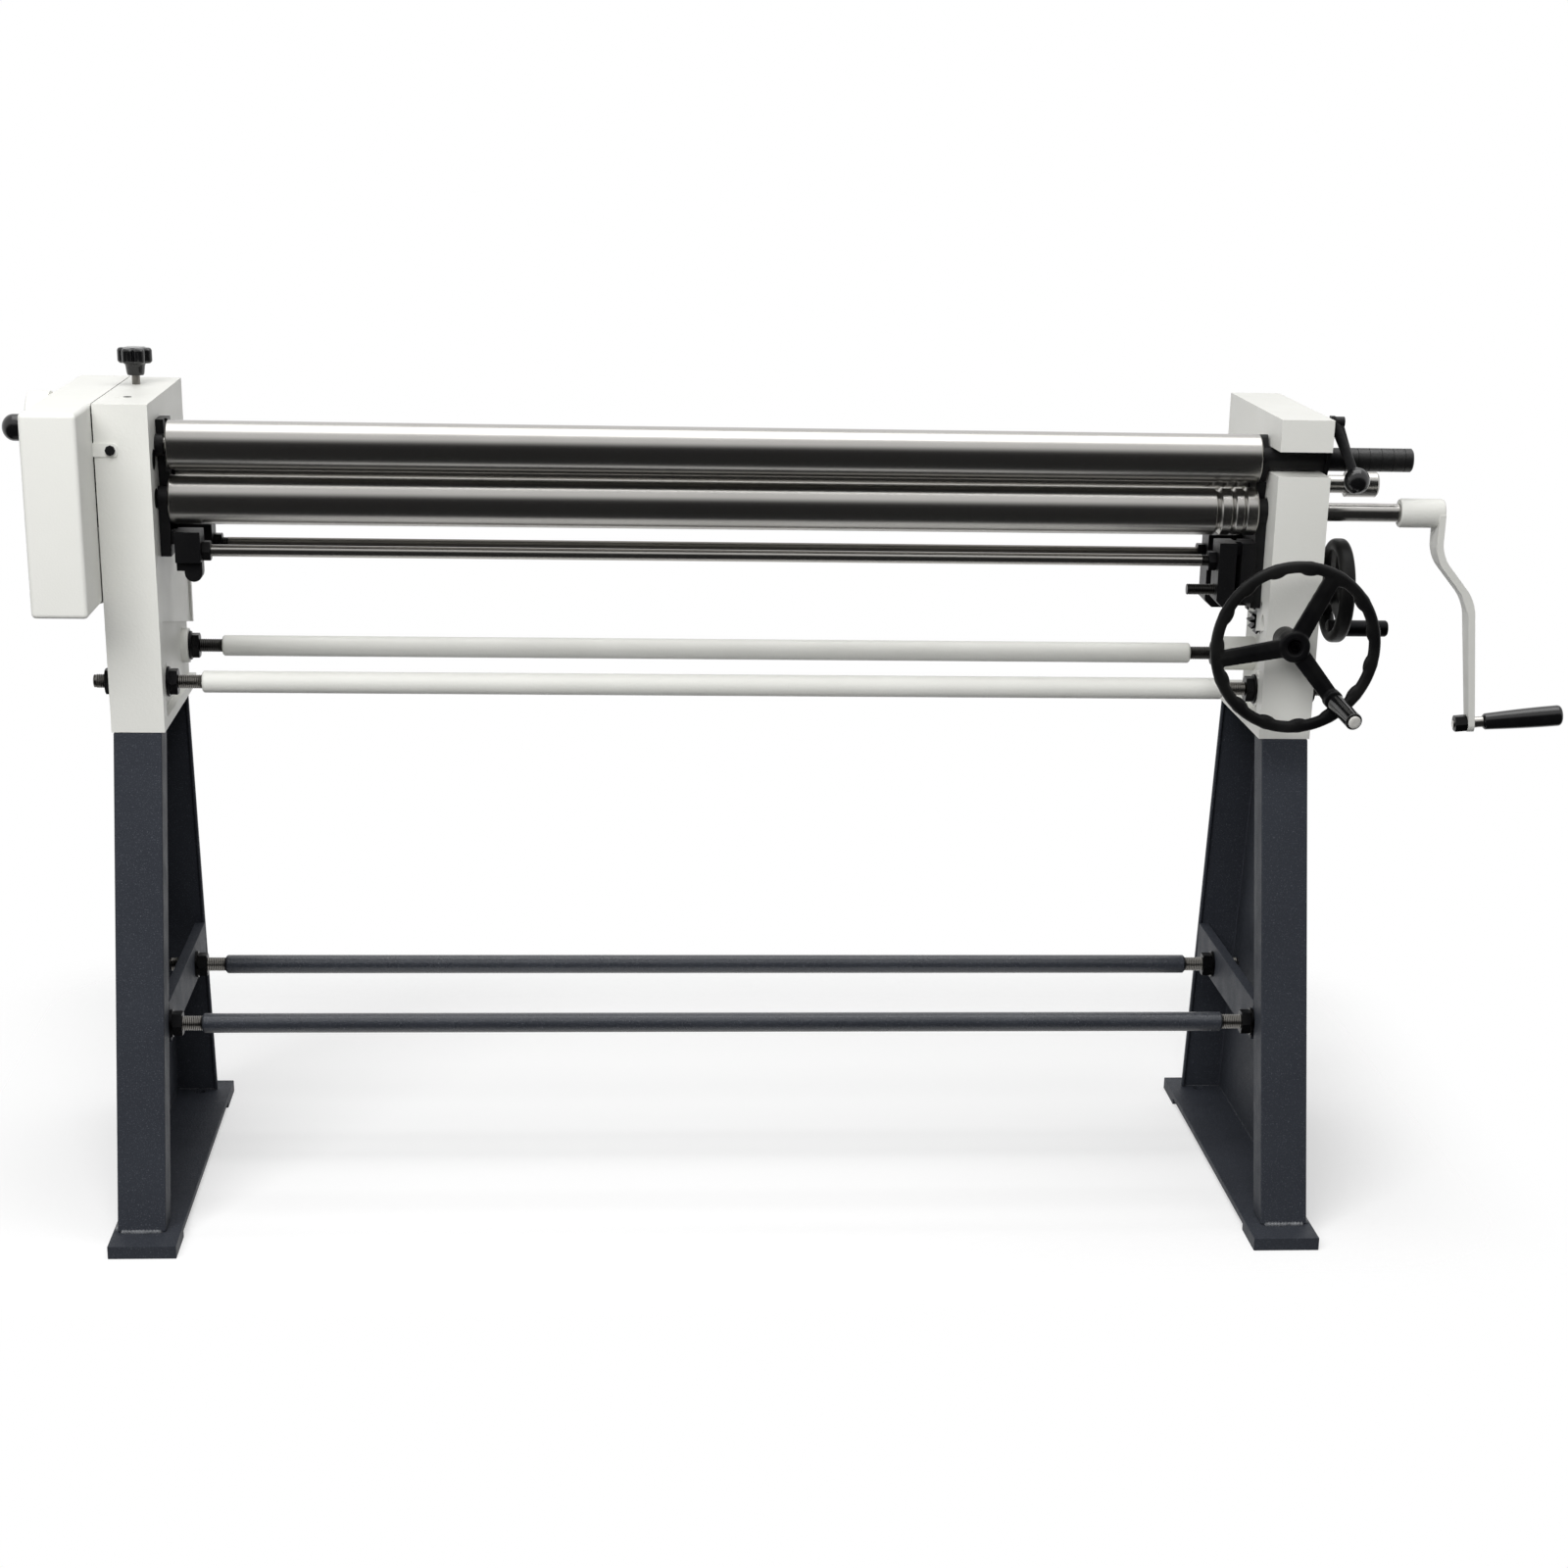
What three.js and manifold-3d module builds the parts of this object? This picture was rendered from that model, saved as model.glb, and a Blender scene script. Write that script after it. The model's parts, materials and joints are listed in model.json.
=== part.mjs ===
// Slip roll: three steel rolls between two cast heads on a folded steel stand, turned by a crank.
// X runs along the rolls, Y from the front of the machine to its back, Z up from the floor.
// All sizes are in millimetres.
import * as THREE from 'three';
import { mergeVertices } from 'three/addons/utils/BufferGeometryUtils.js';
import Module from 'manifold-3d';

const wasm = await Module();
wasm.setup();

// Clearances
const seat = 0.3;
const runClear = 0.5;
const overrun = 4;

// Rolls: the bodies are all alike, the journals differ
const rollLength = 1300;
const rollRadius = 28.5;
const rollEdge = 1.5;
const rollEndGap = 0.5;
const rollLineY = 55;
const lowerRollZ = 852;
const rollGap = 6;
const topRollZ = lowerRollZ + 2 * rollRadius + rollGap;
const rearRollY = 121;
const rearRollZ = 877;
const topJournalRadius = 10;
const lowerJournalRadius = 11;
const rearJournalRadius = 11;
const rearCollarRadius = 15.5;
const rearCollarLength = 41;
const rearJournalReach = 166;
const journalChamfer = 2.5;
const grooveSteps = [16, 30, 48];
const grooveWidths = [5, 6.5, 8];

// Cast heads
const endSpace = 13.3;
const headThickness = 63.2;
const headDepth = 298;
const headFootZ = 583.5;
const headTopZ = 967;
const flangeWall = 13;
const recessDepth = 3;
const recessStep = 6;
const recessFrontY = 25;
const recessRearWall = 10;
const recessTopZ = 745;
const recessStepFrontRise = 128.5;
const recessStepRearRise = 78.5;
const recessCorner = 12;
const hollowFrontY = 74;
const hollowWall = 21;
const tieBossRadius = 22;
const liftPocketDepth = 50;
const liftPocketHalf = 15;
const liftPocketSkin = 4;
const pocketSpare = 1.5;
const sightHoleRadius = 10.5;
const sightHoleDepth = 14;
const sightHoleY = 28.5;
const sightHoleZ = [899, 856];
const oilHoleRadius = 4.5;
const oilHoleDepth = 20;
const oilHoleY = 74;

// Lifting gear: a pin on a sliding carriage runs in a sloped slot of each bearing block
const blockOver = 18;
const blockCheek = 6.5;
const liftPinRadius = 5;
const slotWall = 4;
const tongueHalfWidth = 6;
const tongueHalfHeight = 8;
const tongueEnd = 7.5;
const liftPinZ = 808;
const frontLiftDown = 2;
const frontLiftUp = 5.5;
const frontLiftSlope = 1;
const rearLiftDown = 18;
const rearLiftUp = 10;
const rearLiftSlope = 1;
const carriageHalfDepth = 20;
const carriageTopZ = 816;
const frontCarriageFootZ = 737;
const shortCarriageFootZ = 780;
const carriageChamfer = 9;
const rightFrontGap = 23;
const rightFrontWidth = 21.5;
const leftFrontGap = 5;
const leftFrontWidth = 30;
const rightRearGap = 14;
const rightRearWidth = 31;
const leftRearGap = 19;
const leftRearWidth = 22;
const guideWidth = 16.5;
const guideFootZ = 744;
const lugRadius = 10.5;
const lugBottomZ = 756;
const lugStepZ = 769;
const barRadius = 7;
const frontBarZ = 792;
const rearBarZ = 791;
const barNutAcross = 22;
const barNutLength = 10;
const barPocket = 3;

// Bearing plates on the inner faces of the heads
const plateFrontSet = 11;
const plateLobeRadius = 17;
const plateWaistSet = 4;
const plateRearSet = 24;
const plateTopZ = 944;
const plateTopBack = 37;
const plateShoulder = 13;
const leftPlateFootZ = 786;
const rightPlateFootZ = 736;
const plateHeadGap = 2;

// Swinging bearings of the top roll
const swingInset = 43;
const bushRadius = 16;
const bushHalfHeight = 15;
const swingRoom = 5;
const swingRelief = 3.2;
const swingTravel = 5 * THREE.MathUtils.DEG2RAD;
const sleeveRadius = 14;
const slotHalfHeight = 14.5;
const sleeveWallEnd = 4;
const innerFlangeWidth = 9.5;
const innerFlangeTop = 28;
const innerFlangeBack = 20;
const innerFlangeDrop = 27;
const innerFlangeHalf = 14;
const outerFlangeGap = 1.6;
const outerFlangeWidth = 5.5;
const outerFlangeHalf = 19;
const outerFlangeDrop = 25;
const outerFlangeRise = 54;
const earHalf = 9;
const gripStubRadius = 9;
const gripCollarLength = 20;
const rollGripLength = 84;
const rollGripRadius = 14;
const gripRingPitch = 14.5;
const gripRingDepth = 0.8;
const gripWallEnd = 6;
const leverPivotY = 31;
const leverPivotRise = 47;
const leverPinRadius = 3;
const leverBossRadius = 6.5;
const leverBossWidth = 11;
const leverRodRadius = 4.2;
const leverTipRadius = 3.2;
const ballRadius = 15.5;
const ballY = 2;
const ballDrop = 18;
const ballStep = 25;

// Gears at the left ends of the top and lower rolls
const gearTeeth = 10;
const gearTipRadius = 34;
const gearRootRadius = 22;
const gearTipHalf = 1.5;
const gearRootHalf = 3.1;
const gearWidth = 12;
const gearOffset = 6;
const gearStubLength = 8;

// Gear cover
const coverWall = 2;
const coverDepth = 65.5;
const coverFrontY = -102;
const coverBackY = 316;
const coverFootZ = 737;
const bossY = 110;
const bossZ = 926;
const bossRadius = 43;
const bossHeight = 25;
const coverKnobRadius = 15.8;
const coverKnobLength = 33;
const coverKnobStem = 4;
const strapZ = 915;
const strapHalf = 7.8;
const strapReach = 19;
const strapScrewRadius = 5.9;
const strapScrewHead = 5;
const strapScrewShank = 3;

// Star knob on the left head
const starInset = 83;
const starRadius = 21;
const starLobes = 6;
const starLobeDepth = 2.4;
const starHeadHeight = 14;
const starHubRadius = 12.5;
const starHubNeck = 10;
const starHubHeight = 16;
const starStemRadius = 4.25;
const starStemShow = 14;
const starStemDepth = 20;

// Tie rods between the heads
const tieFrontY = 42;
const tieBackInset = 48;
const tieFrontRise = 53.5;
const tieBackRise = 57.5;
const tieRadius = 13;
const tieNeckRadius = 8.4;
const tieNeckInset = 42;
const tieStub = 24;
const tieNutAcross = 28;
const tieNutLength = 10;
const tieOuterNutLength = 6.5;
const tieWasherRadius = 18;
const tieWasherThickness = 3;

// Stand
const standInnerInset = 4;
const standOuterInset = 2;
const standWall = 4;
const legLip = 45;
const rearLip = 8;
const standTopBackInset = 52;
const standFootFrontY = -190;
const standFootBackY = 331;
const footThickness = 8;
const footPadLength = 68;
const footInboard = 13.5;
const footOutboard = 4;
const footFrontY = -234;
const footBackY = 363;
const footHoleRadius = 7;
const footHoleInset = 46;
const braceTopZ = 265;
const braceHeight = 50;
const braceFlange = 13;
const braceWall = 4;
const standRodFrontY = -60;
const standRodBackY = 185;
const standRodZ = 238;
const standRodRadius = 12;
const standNeckRadius = 9;
const standNeckInset = 39;
const standRodStub = 34;
const standNutAcross = 27;
const standNutLength = 12;
const standWasherRadius = 17;
const standWasherThickness = 3;

// Front handwheel, for the rear roll, with its shaft, pinion and rack
const frontWheelInset = 21.7;
const frontWheelZ = 708;
const frontWheelY = -61;
const frontWheelRadius = 103;
const frontRimDepth = 14;
const frontRimWidth = 13;
const rimWaves = 15;
const rimWaveDepth = 3;
const rimBevel = 2.5;
const frontSpokeAngles = [65, 189, -51];
const spokeWidth = 19;
const spokeBack = 5;
const spokeRidge = 6;
const spokeDish = 8;
const frontHubRadius = 18.5;
const frontHubFront = 1;
const frontHubNeckRadius = 15;
const hubLength = 24;
const hubSocketRadius = 10;
const hubSocketDepth = 7;
const hubScrewRadius = 6;
const hubScrewHeight = 4;
const frontShaftRadius = 10;
const frontGripAngle = -51;
const frontGripSet = 79;
const frontGripRadius = 9.2;
const frontGripNeck = 6.5;
const frontGripLength = 64;
const frontGripStandOff = 2.5;
const frontGripSplay = 13.5 * THREE.MathUtils.DEG2RAD;
const gripScrewRadius = 4;
const gripScrewHeadRadius = 6.4;
const gripScrewHeadHeight = 3;
const shaftWindowY = 33;
const shaftWindowZ = 717;
const shaftWindowRadius = 15.5;
const shaftWindowDepth = 20;
const pinionTeeth = 12;
const pinionPitchRadius = 16;
const toothAddendum = 2.4;
const toothDedendum = 3;
const toothTipHalf = 0.8;
const toothRootHalf = 2;
const pinionHalfWidth = 10;
const rackHalfWidth = 7.5;
const rackBack = 12;
const rackReach = 24;
const rackTeethBefore = 3;
const rackTeethAfter = 3;
const rackCutWall = 3;

// Side handwheel, for the lower roll, with its screw
const sideWheelZ = 757;
const sideWheelOffset = 32;
const sideWheelRadius = 63;
const sideRimDepth = 13;
const sideRimWidth = 16;
const sideSpokeAngles = [90, 210, 330];
const sideSpokeWidth = 15;
const sideHubRadius = 16;
const sideHubFront = 6;
const sideGripAngle = -90;
const sideGripSet = 46.5;
const sideGripRadius = 10;
const sideGripNeck = 8;
const sideGripLength = 59;
const screwRadius = 6.7;
const screwReach = 91;
const screwThreadChamfer = 1.5;

// Crank on the lower roll
const crankHubStart = 178;
const crankHubLength = 54.5;
const crankHubRadius = 17.6;
const crankHubWall = 11;
const armThickness = 8;
const armTopWidth = 37;
const armFootWidth = 22;
const armDrop = 53;
const armShift = 47;
const armShiftDrop = 55;
const armLean = 6.2 * THREE.MathUtils.DEG2RAD;
const gripTilt = 5 * THREE.MathUtils.DEG2RAD;
const armThrow = 259;
const armFootRadius = 11;
const spindleRadius = 5;
const spindleNeckRadius = 7;
const crankNutAcross = 18;
const crankNutLength = 15;
const crankNutGap = 0.6;
const spindleStub = 2;
const crankGripStart = 21;
const crankGripLength = 100;
const crankGripNeck = 10.2;
const crankGripRadius = 13;
const crankGripRound = 5;

// Facets
const fineSides = 24;
const midSides = 16;
const smallSides = 10;
const rimSides = 30;
const arcSteps = 4;

// Lines and planes that several pieces share
const rollEnd = rollLength / 2;
const innerFace = rollEnd + endSpace;
const outerFace = innerFace + headThickness;
const plateInner = rollEnd + rollEndGap;
const plateOuter = innerFace - seat;
const swingX = -(innerFace + swingInset);
const gearInner = outerFace + gearOffset;
const coverOuter = outerFace + seat + coverDepth;
const crankHubEnd = rollEnd + crankHubStart + crankHubLength;
const standInner = innerFace + standInnerInset;
const standOuter = outerFace - standOuterInset;
const standTopBackY = headDepth - standTopBackInset;
const frontWheelX = innerFace + frontWheelInset;
const recessStepFrontZ = headFootZ + recessStepFrontRise;
const recessStepRearZ = headFootZ + recessStepRearRise;
const tieBackY = headDepth - tieBackInset;
const starY = headDepth - starInset;
const tieRows = [
  { place: 'front', y: tieFrontY, z: headFootZ + tieFrontRise },
  { place: 'back', y: tieBackY, z: headFootZ + tieBackRise },
];
const halfTurn = Math.PI;
const quarterTurn = Math.PI / 2;

// Where each carriage sits along the rolls, from its outboard face to its inboard face
const place = (gap, width) => ({ outer: plateInner - gap, inner: plateInner - gap - width });
const rightFront = place(rightFrontGap, rightFrontWidth);
const leftFront = place(leftFrontGap, leftFrontWidth);
const rightRear = place(rightRearGap, rightRearWidth);
const leftRear = place(leftRearGap, leftRearWidth);

const frontLift = {
  y: rollLineY, z: lowerRollZ, journal: lowerJournalRadius,
  down: frontLiftDown, up: frontLiftUp, slope: frontLiftSlope,
};
const rearLift = {
  y: rearRollY, z: rearRollZ, journal: rearJournalRadius,
  down: rearLiftDown, up: rearLiftUp, slope: rearLiftSlope,
};

// Materials
function paint(color, roughness, metalness = 0) {
  return new THREE.MeshStandardMaterial({ color, roughness, metalness });
}
const castWhite = paint(0xe6e5df, 0.55);
const sheetWhite = paint(0xebeae4, 0.5);
const castBlack = paint(0x17171a, 0.5);
const plasticBlack = paint(0x0f0f11, 0.3);
const rollSteel = paint(0xb8b8b4, 0.28, 1);
const plainSteel = paint(0x9a9a97, 0.35, 1);
const darkSteel = paint(0x2b2b2d, 0.4, 1);
const standPaint = paint(0x3b3e45, 0.5);

// Solids and booleans
function solid(geometry) {
  const bare = geometry.index ? geometry : mergeVertices(geometry);
  bare.deleteAttribute('normal');
  bare.deleteAttribute('uv');
  const merged = mergeVertices(bare);
  return new wasm.Manifold(new wasm.Mesh({
    numProp: 3,
    vertProperties: new Float32Array(merged.attributes.position.array),
    triVerts: new Uint32Array(merged.index.array),
  }));
}

const join = (first, ...others) => others.reduce((whole, other) => whole.add(other), first);
const cut = (first, ...others) => others.reduce((whole, other) => whole.subtract(other), first);

function box(x0, x1, y0, y1, z0, z1) {
  const geometry = new THREE.BoxGeometry(Math.abs(x1 - x0), Math.abs(y1 - y0), Math.abs(z1 - z0));
  geometry.translate((x0 + x1) / 2, (y0 + y1) / 2, (z0 + z1) / 2);
  return solid(geometry);
}

// Maps a shape's plane and its depth onto the axis that it is pushed along:
// (Y, Z) for x, (X, Z) for y, (X, Y) for z
function turnTo(axis) {
  const x = new THREE.Vector3(1, 0, 0);
  const y = new THREE.Vector3(0, 1, 0);
  const z = new THREE.Vector3(0, 0, 1);
  const bases = { x: [y, z, x], y: [x, z, y.clone().negate()], z: [x, y, z] };
  return new THREE.Matrix4().makeBasis(...bases[axis]);
}

function push(axis, shape, from, to, curveSegments = arcSteps) {
  const low = Math.min(from, to);
  const depth = Math.abs(to - from);
  const geometry = new THREE.ExtrudeGeometry(shape, { depth, bevelEnabled: false, curveSegments });
  geometry.applyMatrix4(turnTo(axis));
  const start = { x: [low, 0, 0], y: [0, low + depth, 0], z: [0, 0, low] };
  geometry.translate(...start[axis]);
  return solid(geometry);
}

function outline(points) {
  return new THREE.Shape(points.map(([a, b]) => new THREE.Vector2(a, b)));
}

// A lathe profile is a list of [radius, place along the axis], from the low end to the high end
function turned(axis, profile, a, b, sides = midSides) {
  const rising = profile[profile.length - 1][1] >= profile[0][1];
  const ordered = rising ? profile : [...profile].reverse();
  const points = ordered.map(([radius, place]) => new THREE.Vector2(radius, place));
  const geometry = new THREE.LatheGeometry(points, sides);
  if (axis === 'x') geometry.rotateZ(-quarterTurn);
  if (axis === 'z') geometry.rotateX(quarterTurn);
  const spot = { x: [0, a, b], y: [a, 0, b], z: [a, b, 0] };
  geometry.translate(...spot[axis]);
  return solid(geometry);
}

function rod(axis, radius, from, to, a, b, sides = midSides) {
  const low = Math.min(from, to);
  const high = Math.max(from, to);
  return turned(axis, [[0, low], [radius, low], [radius, high], [0, high]], a, b, sides);
}

function hexagon(across, a, b) {
  const corner = across / Math.sqrt(3);
  const points = [];
  for (let i = 0; i < 6; i += 1) {
    const angle = (i * halfTurn) / 3;
    points.push([a + corner * Math.cos(angle), b + corner * Math.sin(angle)]);
  }
  return outline(points);
}

// A slot with round ends, between two points of a plane
function capsule([a0, b0], [a1, b1], radius) {
  const angle = Math.atan2(b1 - b0, a1 - a0);
  const shape = new THREE.Shape();
  shape.absarc(a1, b1, radius, angle - quarterTurn, angle + quarterTurn, false);
  shape.absarc(a0, b0, radius, angle + quarterTurn, angle + halfTurn + quarterTurn, false);
  shape.closePath();
  return shape;
}

const root = new THREE.Group();

function node(name, shape, material, parent = root) {
  const mesh = shape.getMesh();
  const geometry = new THREE.BufferGeometry();
  geometry.setAttribute('position', new THREE.BufferAttribute(new Float32Array(mesh.vertProperties), 3));
  geometry.setIndex(new THREE.BufferAttribute(new Uint32Array(mesh.triVerts), 1));
  geometry.computeVertexNormals();
  const piece = new THREE.Mesh(geometry, material);
  piece.name = name;
  parent.add(piece);
  return piece;
}

const sideName = (side) => (side < 0 ? 'left' : 'right');

// The sloped slot falls towards +X, so a carriage that moves that way lifts the block.
// The middle of the pin's travel is at the middle of the block.
function liftPinX(side, lift) {
  return side * (innerFace + (liftPocketSkin + liftPocketDepth) / 2) - (lift.up - lift.down) / (2 * lift.slope);
}

function slotEnds(side, lift) {
  const x = liftPinX(side, lift);
  const low = [x - lift.down / lift.slope, liftPinZ + lift.down];
  const high = [x + lift.up / lift.slope, liftPinZ - lift.up];
  return [low, high];
}

const blockFootZ = (lift) => liftPinZ - lift.up - liftPinRadius - runClear - slotWall;

// Room for a journal that moves up and down
function journalSlot(lift, from, to) {
  const low = [lift.y, lift.z - lift.down];
  const high = [lift.y, lift.z + lift.up];
  return push('x', capsule(low, high, lift.journal + runClear), from, to);
}

function liftPocket(side, lift) {
  const bottom = blockFootZ(lift) - lift.down - pocketSpare;
  const top = lift.z + blockOver + lift.up + pocketSpare;
  const near = side * (innerFace + liftPocketSkin);
  const far = side * (innerFace + liftPocketDepth);
  return box(near, far, lift.y - liftPocketHalf, lift.y + liftPocketHalf, bottom, top);
}

// Room for the tongue of a carriage, from one plane to another
function tongueRoom(lift, from, to) {
  const half = tongueHalfWidth + 2 * runClear;
  const rise = tongueHalfHeight + 2 * runClear;
  return box(from, to, lift.y - half, lift.y + half, liftPinZ - rise, liftPinZ + rise);
}

// Heads: the inner face has a shallow recess, stepped deeper and open to the back below a sloping line
function headRecess(side) {
  const open = headDepth + overrun;
  const rear = headDepth - recessRearWall;
  const foot = headFootZ + flangeWall;
  const lower = outline([
    [recessFrontY, foot], [open, foot], [open, recessStepRearZ], [recessFrontY, recessStepFrontZ],
  ]);
  const upper = outline([
    [recessFrontY, foot], [rear, foot], [rear, recessTopZ],
    [recessFrontY + recessCorner, recessTopZ], [recessFrontY, recessTopZ - 2 * recessCorner],
  ]);
  const near = side * (innerFace - overrun);
  return join(
    push('x', upper, near, side * (innerFace + recessDepth)),
    push('x', lower, near, side * (innerFace + recessDepth + recessStep)),
  );
}

function head(side) {
  let body = box(side * innerFace, side * outerFace, 0, headDepth, headFootZ, headTopZ);
  body = cut(body, headRecess(side));
  if (side > 0) body = cut(body, rearHollow());
  for (const { y, z } of tieRows) {
    body = join(body, rod('x', tieBossRadius, side * innerFace, side * (outerFace - overrun), y, z));
  }
  const from = side * (innerFace - overrun);
  const to = side * (outerFace + overrun);
  for (const { y, z } of tieRows) {
    body = cut(body, rod('x', tieNeckRadius + runClear, from, to, y, z));
  }
  for (const lift of [frontLift, rearLift]) {
    const opening = tongueRoom(lift, from, side * (innerFace + liftPocketSkin + overrun));
    body = cut(body, liftPocket(side, lift), journalSlot(lift, from, to), opening);
  }
  return side < 0 ? leftHeadCuts(body) : rightHeadCuts(body);
}

// The left head carries the swivel bush, an oil hole, the star knob and two round sight holes
function leftHeadCuts(body) {
  const room = bushRadius + runClear;
  const high = topRollZ + bushHalfHeight + runClear;
  const low = topRollZ - bushHalfHeight - runClear;
  const window = box(swingX, -(outerFace + overrun), rollLineY - room, rollLineY + room, low, high);
  const turn = rod('z', room, low, high, swingX, rollLineY, fineSides);
  const journalRoom = topJournalRadius + runClear;
  const passage = capsule([rollLineY - swingRoom, topRollZ], [rollLineY, topRollZ], journalRoom);
  let result = cut(body, window, turn, push('x', passage, swingX, -(innerFace - overrun)));
  for (const z of sightHoleZ) {
    const deep = -(innerFace + sightHoleDepth);
    result = cut(result, rod('x', sightHoleRadius, -(innerFace - overrun), deep, sightHoleY, z));
  }
  const oilX = swingX + runClear;
  const top = headTopZ + overrun;
  result = cut(result, rod('z', oilHoleRadius, headTopZ - oilHoleDepth, top, oilX, oilHoleY, smallSides));
  const stemRoom = starStemRadius + seat;
  return cut(result, rod('z', stemRoom, headTopZ - starStemDepth - seat, top, swingX, starY, smallSides));
}

// The right head has the open slot that lets the top roll swing out,
// the screw's bore and the wheel shaft's bore
function rightHeadCuts(body) {
  const from = innerFace - overrun;
  const to = outerFace + overrun;
  const slotBack = rollLineY + sleeveRadius + 2 * runClear;
  const slot = box(from, to, -overrun, slotBack, topRollZ - slotHalfHeight, topRollZ + slotHalfHeight);
  const screwBore = rod('x', screwRadius + runClear, from, to, rollLineY, sideWheelZ);
  const boreEnd = rearRollY - pinionHalfWidth;
  const shaftBore = rod('y', frontShaftRadius + runClear, -overrun, boreEnd, frontWheelX, frontWheelZ);
  const window = rod('x', shaftWindowRadius, from, innerFace + shaftWindowDepth, shaftWindowY, shaftWindowZ);
  return cut(body, slot, screwBore, shaftBore, window, rackPocket());
}

// Behind the rack the right head is hollow and open to the back
function rearHollow() {
  const foot = headFootZ + flangeWall;
  return box(innerFace - overrun, outerFace - hollowWall, hollowFrontY, headDepth + overrun, foot, recessTopZ);
}

function rackPocket() {
  const half = pinionHalfWidth + 4 * runClear;
  const top = frontWheelZ + pinionPitchRadius + toothDedendum + rackBack + 2 * runClear;
  const bottom = frontWheelZ - pinionPitchRadius - toothAddendum - 2 * runClear;
  const from = innerFace - overrun;
  const to = outerFace - rackCutWall;
  return box(from, to, rearRollY - half, rearRollY + half, bottom, top);
}

// Bearing plates
function plateOutline(side) {
  const foot = side < 0 ? leftPlateFootZ : rightPlateFootZ;
  const front = rollLineY - plateFrontSet;
  const back = rearRollY + plateRearSet;
  const shoulder = lowerRollZ + plateShoulder;
  const waistTop = topRollZ - innerFlangeDrop - plateHeadGap;
  const rearTop = rearRollZ + rearLiftUp + rearJournalRadius + plateShoulder;
  const points = [
    [front, foot], [back, foot], [back, rearTop], [rollLineY + plateTopBack + plateHeadGap, rearTop],
  ];
  if (side < 0) {
    points.push([rollLineY + plateTopBack + plateHeadGap, plateTopZ], [rollLineY, plateTopZ]);
    points.push([rollLineY + plateWaistSet, waistTop]);
  } else {
    points.push([rollLineY + plateTopBack + plateHeadGap, waistTop]);
    points.push([rollLineY + plateWaistSet, waistTop]);
  }
  points.push([rollLineY + 2 * plateWaistSet, shoulder], [front, shoulder - plateWaistSet]);
  return outline(points);
}

function bearingPlate(side) {
  const inner = side * plateInner;
  const outer = side * plateOuter;
  let plate = push('x', plateOutline(side), inner, outer);
  plate = join(plate, rod('x', plateLobeRadius, inner, outer, rollLineY, lowerRollZ));
  if (side < 0) {
    const lobe = capsule([rollLineY - swingRoom, topRollZ], [rollLineY, topRollZ], plateLobeRadius - slotWall);
    plate = join(plate, push('x', lobe, inner, outer));
  }
  const from = side * (plateInner - overrun);
  const to = side * (plateOuter + overrun);
  for (const lift of [frontLift, rearLift]) {
    plate = cut(plate, journalSlot(lift, from, to), tongueRoom(lift, from, to));
  }
  if (side < 0) {
    const journalRoom = topJournalRadius + runClear;
    const swing = capsule([rollLineY - swingRoom, topRollZ], [rollLineY, topRollZ], journalRoom);
    const rim = capsule([rollLineY - swingRoom, topRollZ], [rollLineY, topRollZ], rollRadius + swingRelief);
    return cut(plate, push('x', swing, from, to), push('x', rim, from, inner - swingRelief));
  }
  const guideEnds = [plateInner - guideWidth, plateInner + runClear];
  const guideHalf = carriageHalfDepth - 2 * runClear;
  const guideRise = box(...guideEnds, rollLineY - guideHalf, rollLineY + guideHalf, guideFootZ, carriageTopZ);
  plate = join(plate, cut(guideRise, tongueRoom(frontLift, plateInner - guideWidth - overrun, to)));
  const rackHalf = rackHalfWidth + 2 * runClear;
  const rackTop = frontWheelZ + pinionPitchRadius + toothDedendum + rackBack + 2 * runClear;
  const rackRoom = box(from, to, rearRollY - rackHalf, rearRollY + rackHalf,
    rightPlateFootZ - overrun, rackTop);
  const screwRoom = rod('x', screwRadius + runClear, plateInner - guideWidth - overrun, to,
    rollLineY, sideWheelZ);
  return cut(plate, rackRoom, screwRoom);
}

// Bearing blocks slide up and down in the heads
function bearingBlock(side, lift) {
  const near = side * (innerFace + liftPocketSkin + 2 * runClear);
  const far = side * (innerFace + liftPocketDepth - 2 * runClear);
  const half = liftPocketHalf - runClear;
  const foot = blockFootZ(lift);
  let block = box(near, far, lift.y - half, lift.y + half, foot, lift.z + blockOver);
  const fork = half - blockCheek;
  const forkTop = lift.z - blockOver;
  block = cut(block, box(near - side * overrun, far + side * overrun, lift.y - fork, lift.y + fork,
    foot - overrun, forkTop));
  block = cut(block, rod('x', lift.journal + runClear, near - side * overrun, far + side * overrun,
    lift.y, lift.z));
  const [low, high] = slotEnds(side, lift);
  const slot = capsule(low, high, liftPinRadius + runClear);
  return cut(block, push('y', slot, lift.y - liftPocketHalf, lift.y + liftPocketHalf));
}

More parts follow.
